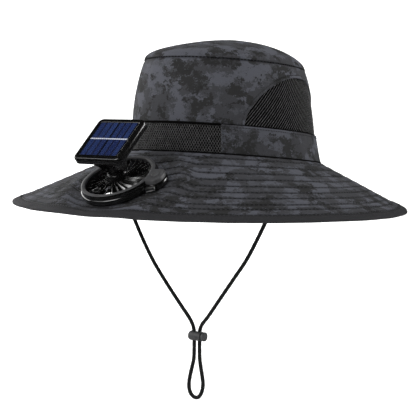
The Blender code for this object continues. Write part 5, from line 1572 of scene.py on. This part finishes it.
def panel():
    """Shallow tray with a rounded bevel and a stepped lip, and the plate of cells in its recess."""
    under = PANEL_TOP - PANEL_THICK
    layers = [(2.2, under), (0.9, under + 0.25 * MM), (0.25, under + 0.9 * MM), (0.0, under + 2.0 * MM),
              (0.0, PANEL_TOP - 2.2 * MM), (0.15, PANEL_TOP - 1.2 * MM), (0.5, PANEL_TOP - 0.5 * MM),
              (1.1, PANEL_TOP - 0.1 * MM), (1.8, PANEL_TOP), (4.2, PANEL_TOP), (4.6, PANEL_TOP - 0.2 * MM),
              (4.9, PANEL_TOP - 0.45 * MM), (5.0, PANEL_TOP - PANEL_RECESS)]
    tray, plate = Shape(), Shape()
    tray.closed_stack(panel_rings([(panel_outline(inset * MM), height) for inset, height in layers]))
    tray.build("solar_panel_tray", [GLOSS], "panel", ["panel_frame"], "black_plastic", sharp=50)
    low, inset = PANEL_TOP - PANEL_RECESS + GAP, PANEL_BORDER + GAP
    outline = panel_outline(inset, 0.8 * MM)
    plate.closed_stack(panel_rings([(outline, low), (outline, low + 0.4 * MM),
                                    (panel_outline(inset + 0.15 * MM, 0.7 * MM), low + 0.5 * MM)]))
    cells = plate.build("solar_cell_plate", [CELLS], "panel", ["panel_cells"], "solar_cell", sharp=30)
    flatten_uv(cells, PANEL_FRAME, (PANEL_WIDTH - 2 * PANEL_BORDER, PANEL_LENGTH - 2 * PANEL_BORDER))


def flatten_uv(obj, matrix, size):
    """UV from the plate's own plane, 0 to 1 across it."""
    mesh = obj.data
    points = np.empty(len(mesh.vertices) * 3, dtype=np.float32)
    mesh.vertices.foreach_get("co", points)
    local = moved(points.reshape(-1, 3), matrix.inverted())
    flat = np.stack([local[:, 0] / size[0] + 0.5, (local[:, 1] - PANEL_SHIFT) / size[1] + 0.5], axis=-1)
    corner = np.empty(len(mesh.loops), dtype=np.int32)
    mesh.loops.foreach_get("vertex_index", corner)
    mesh.uv_layers[0].data.foreach_set("uv", flat[corner].astype(np.float32).ravel())


def carried_nodes():
    """The neck and the bracket stay as the CAD has them, in polished black plastic."""
    for name in ("panel_neck", "panel_bracket"):
        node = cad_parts[name]
        node.data.materials.clear()
        node.data.materials.append(GLOSS)


# Studio

def white_sweep():
    """White floor that curves up behind the hat: a level run, a quarter circle and a wall, carried
    sideways across the camera's view."""
    turn = np.linspace(0.0, math.pi / 2, 24)
    curve = np.column_stack([1.8 + 0.9 * np.sin(turn), FLOOR + 0.9 - 0.9 * np.cos(turn)])
    profile = np.concatenate([[(-30.0, FLOOR), (-3.0, FLOOR)], curve, [(2.7, 4.0)]])
    back = np.array([-math.sin(CAMERA_ROUND), math.cos(CAMERA_ROUND), 0.0])
    across = np.array([math.cos(CAMERA_ROUND), math.sin(CAMERA_ROUND), 0.0])
    points = (profile[:, :1, None] * back + np.linspace(-30.0, 30.0, 12)[:, None] * across
              + profile[:, 1:, None] * np.array([0.0, 0.0, 1.0]))
    rows, columns = points.shape[:2]
    start = (np.arange(rows - 1)[:, None] * columns + np.arange(columns - 1)).reshape(-1, 1)
    faces = start + np.array([0, columns, columns + 1, 1])
    mesh = bpy.data.meshes.new("studio_sweep")
    mesh.from_pydata(points.reshape(-1, 3).tolist(), [], faces.tolist())
    mesh.materials.append(studio_white())
    mesh.shade_smooth()
    sweep = bpy.data.objects.new("studio_sweep", mesh)
    bpy.context.scene.collection.objects.link(sweep)
    sweep.visible_glossy = False


def studio():
    """White sweep, a broad key light, a top light, a panel on the left, and two strips for the edges.
    The pale surroundings light the hat but don't show in its gloss."""
    white_sweep()
    world = bpy.data.worlds.new("studio_world")
    world.use_nodes = True
    around = world.node_tree.nodes["Background"]
    around.inputs["Color"].default_value = (1.0, 1.0, 1.0, 1.0)
    around.inputs["Strength"].default_value = 0.10
    bpy.context.scene.world = world
    world.cycles_visibility.glossy = False
    aim = Vector((0.0, -0.05, -0.02))
    for name, place, size, power in (("key_light", (-0.4, -2.3, 1.2), (1.5, 1.3), 31.0),
                                     ("top_light", (0.4, 0.3, 2.3), (2.2, 2.2), 38.0),
                                     ("left_panel", (-2.0, 0.1, 0.62), (2.6, 0.9), 24.0),
                                     ("rim_strip", (1.7, 1.9, 0.9), (0.8, 1.4), 24.0),
                                     ("front_strip", (-1.5, -1.6, 1.25), (0.9, 0.45), 4.5)):
        data = bpy.data.lights.new(name, "AREA")
        data.shape = "RECTANGLE"
        data.size, data.size_y = size
        data.energy = power
        light = bpy.data.objects.new(name, data)
        light.location = place
        light.visible_glossy = name != "top_light"
        light.rotation_euler = (aim - Vector(place)).to_track_quat("-Z", "Y").to_euler()
        bpy.context.scene.collection.objects.link(light)
    bpy.context.scene.view_settings.view_transform = "Standard"


photo_camera()
CORD, CORD_LINE, CORD_LENGTH = chin_cord()
LOCK_BARREL, LOCK_PLUNGER = lock()
anchors()
crown_side()
crown_tip()
seam_line()
side_vents()
vent_trim()
band()
band_trim()
brim()
brim_stitching()
binding()
fan_housing()
fan_ring()
fan_guard()
rotor()
retainer()
panel()
carried_nodes()
studio()
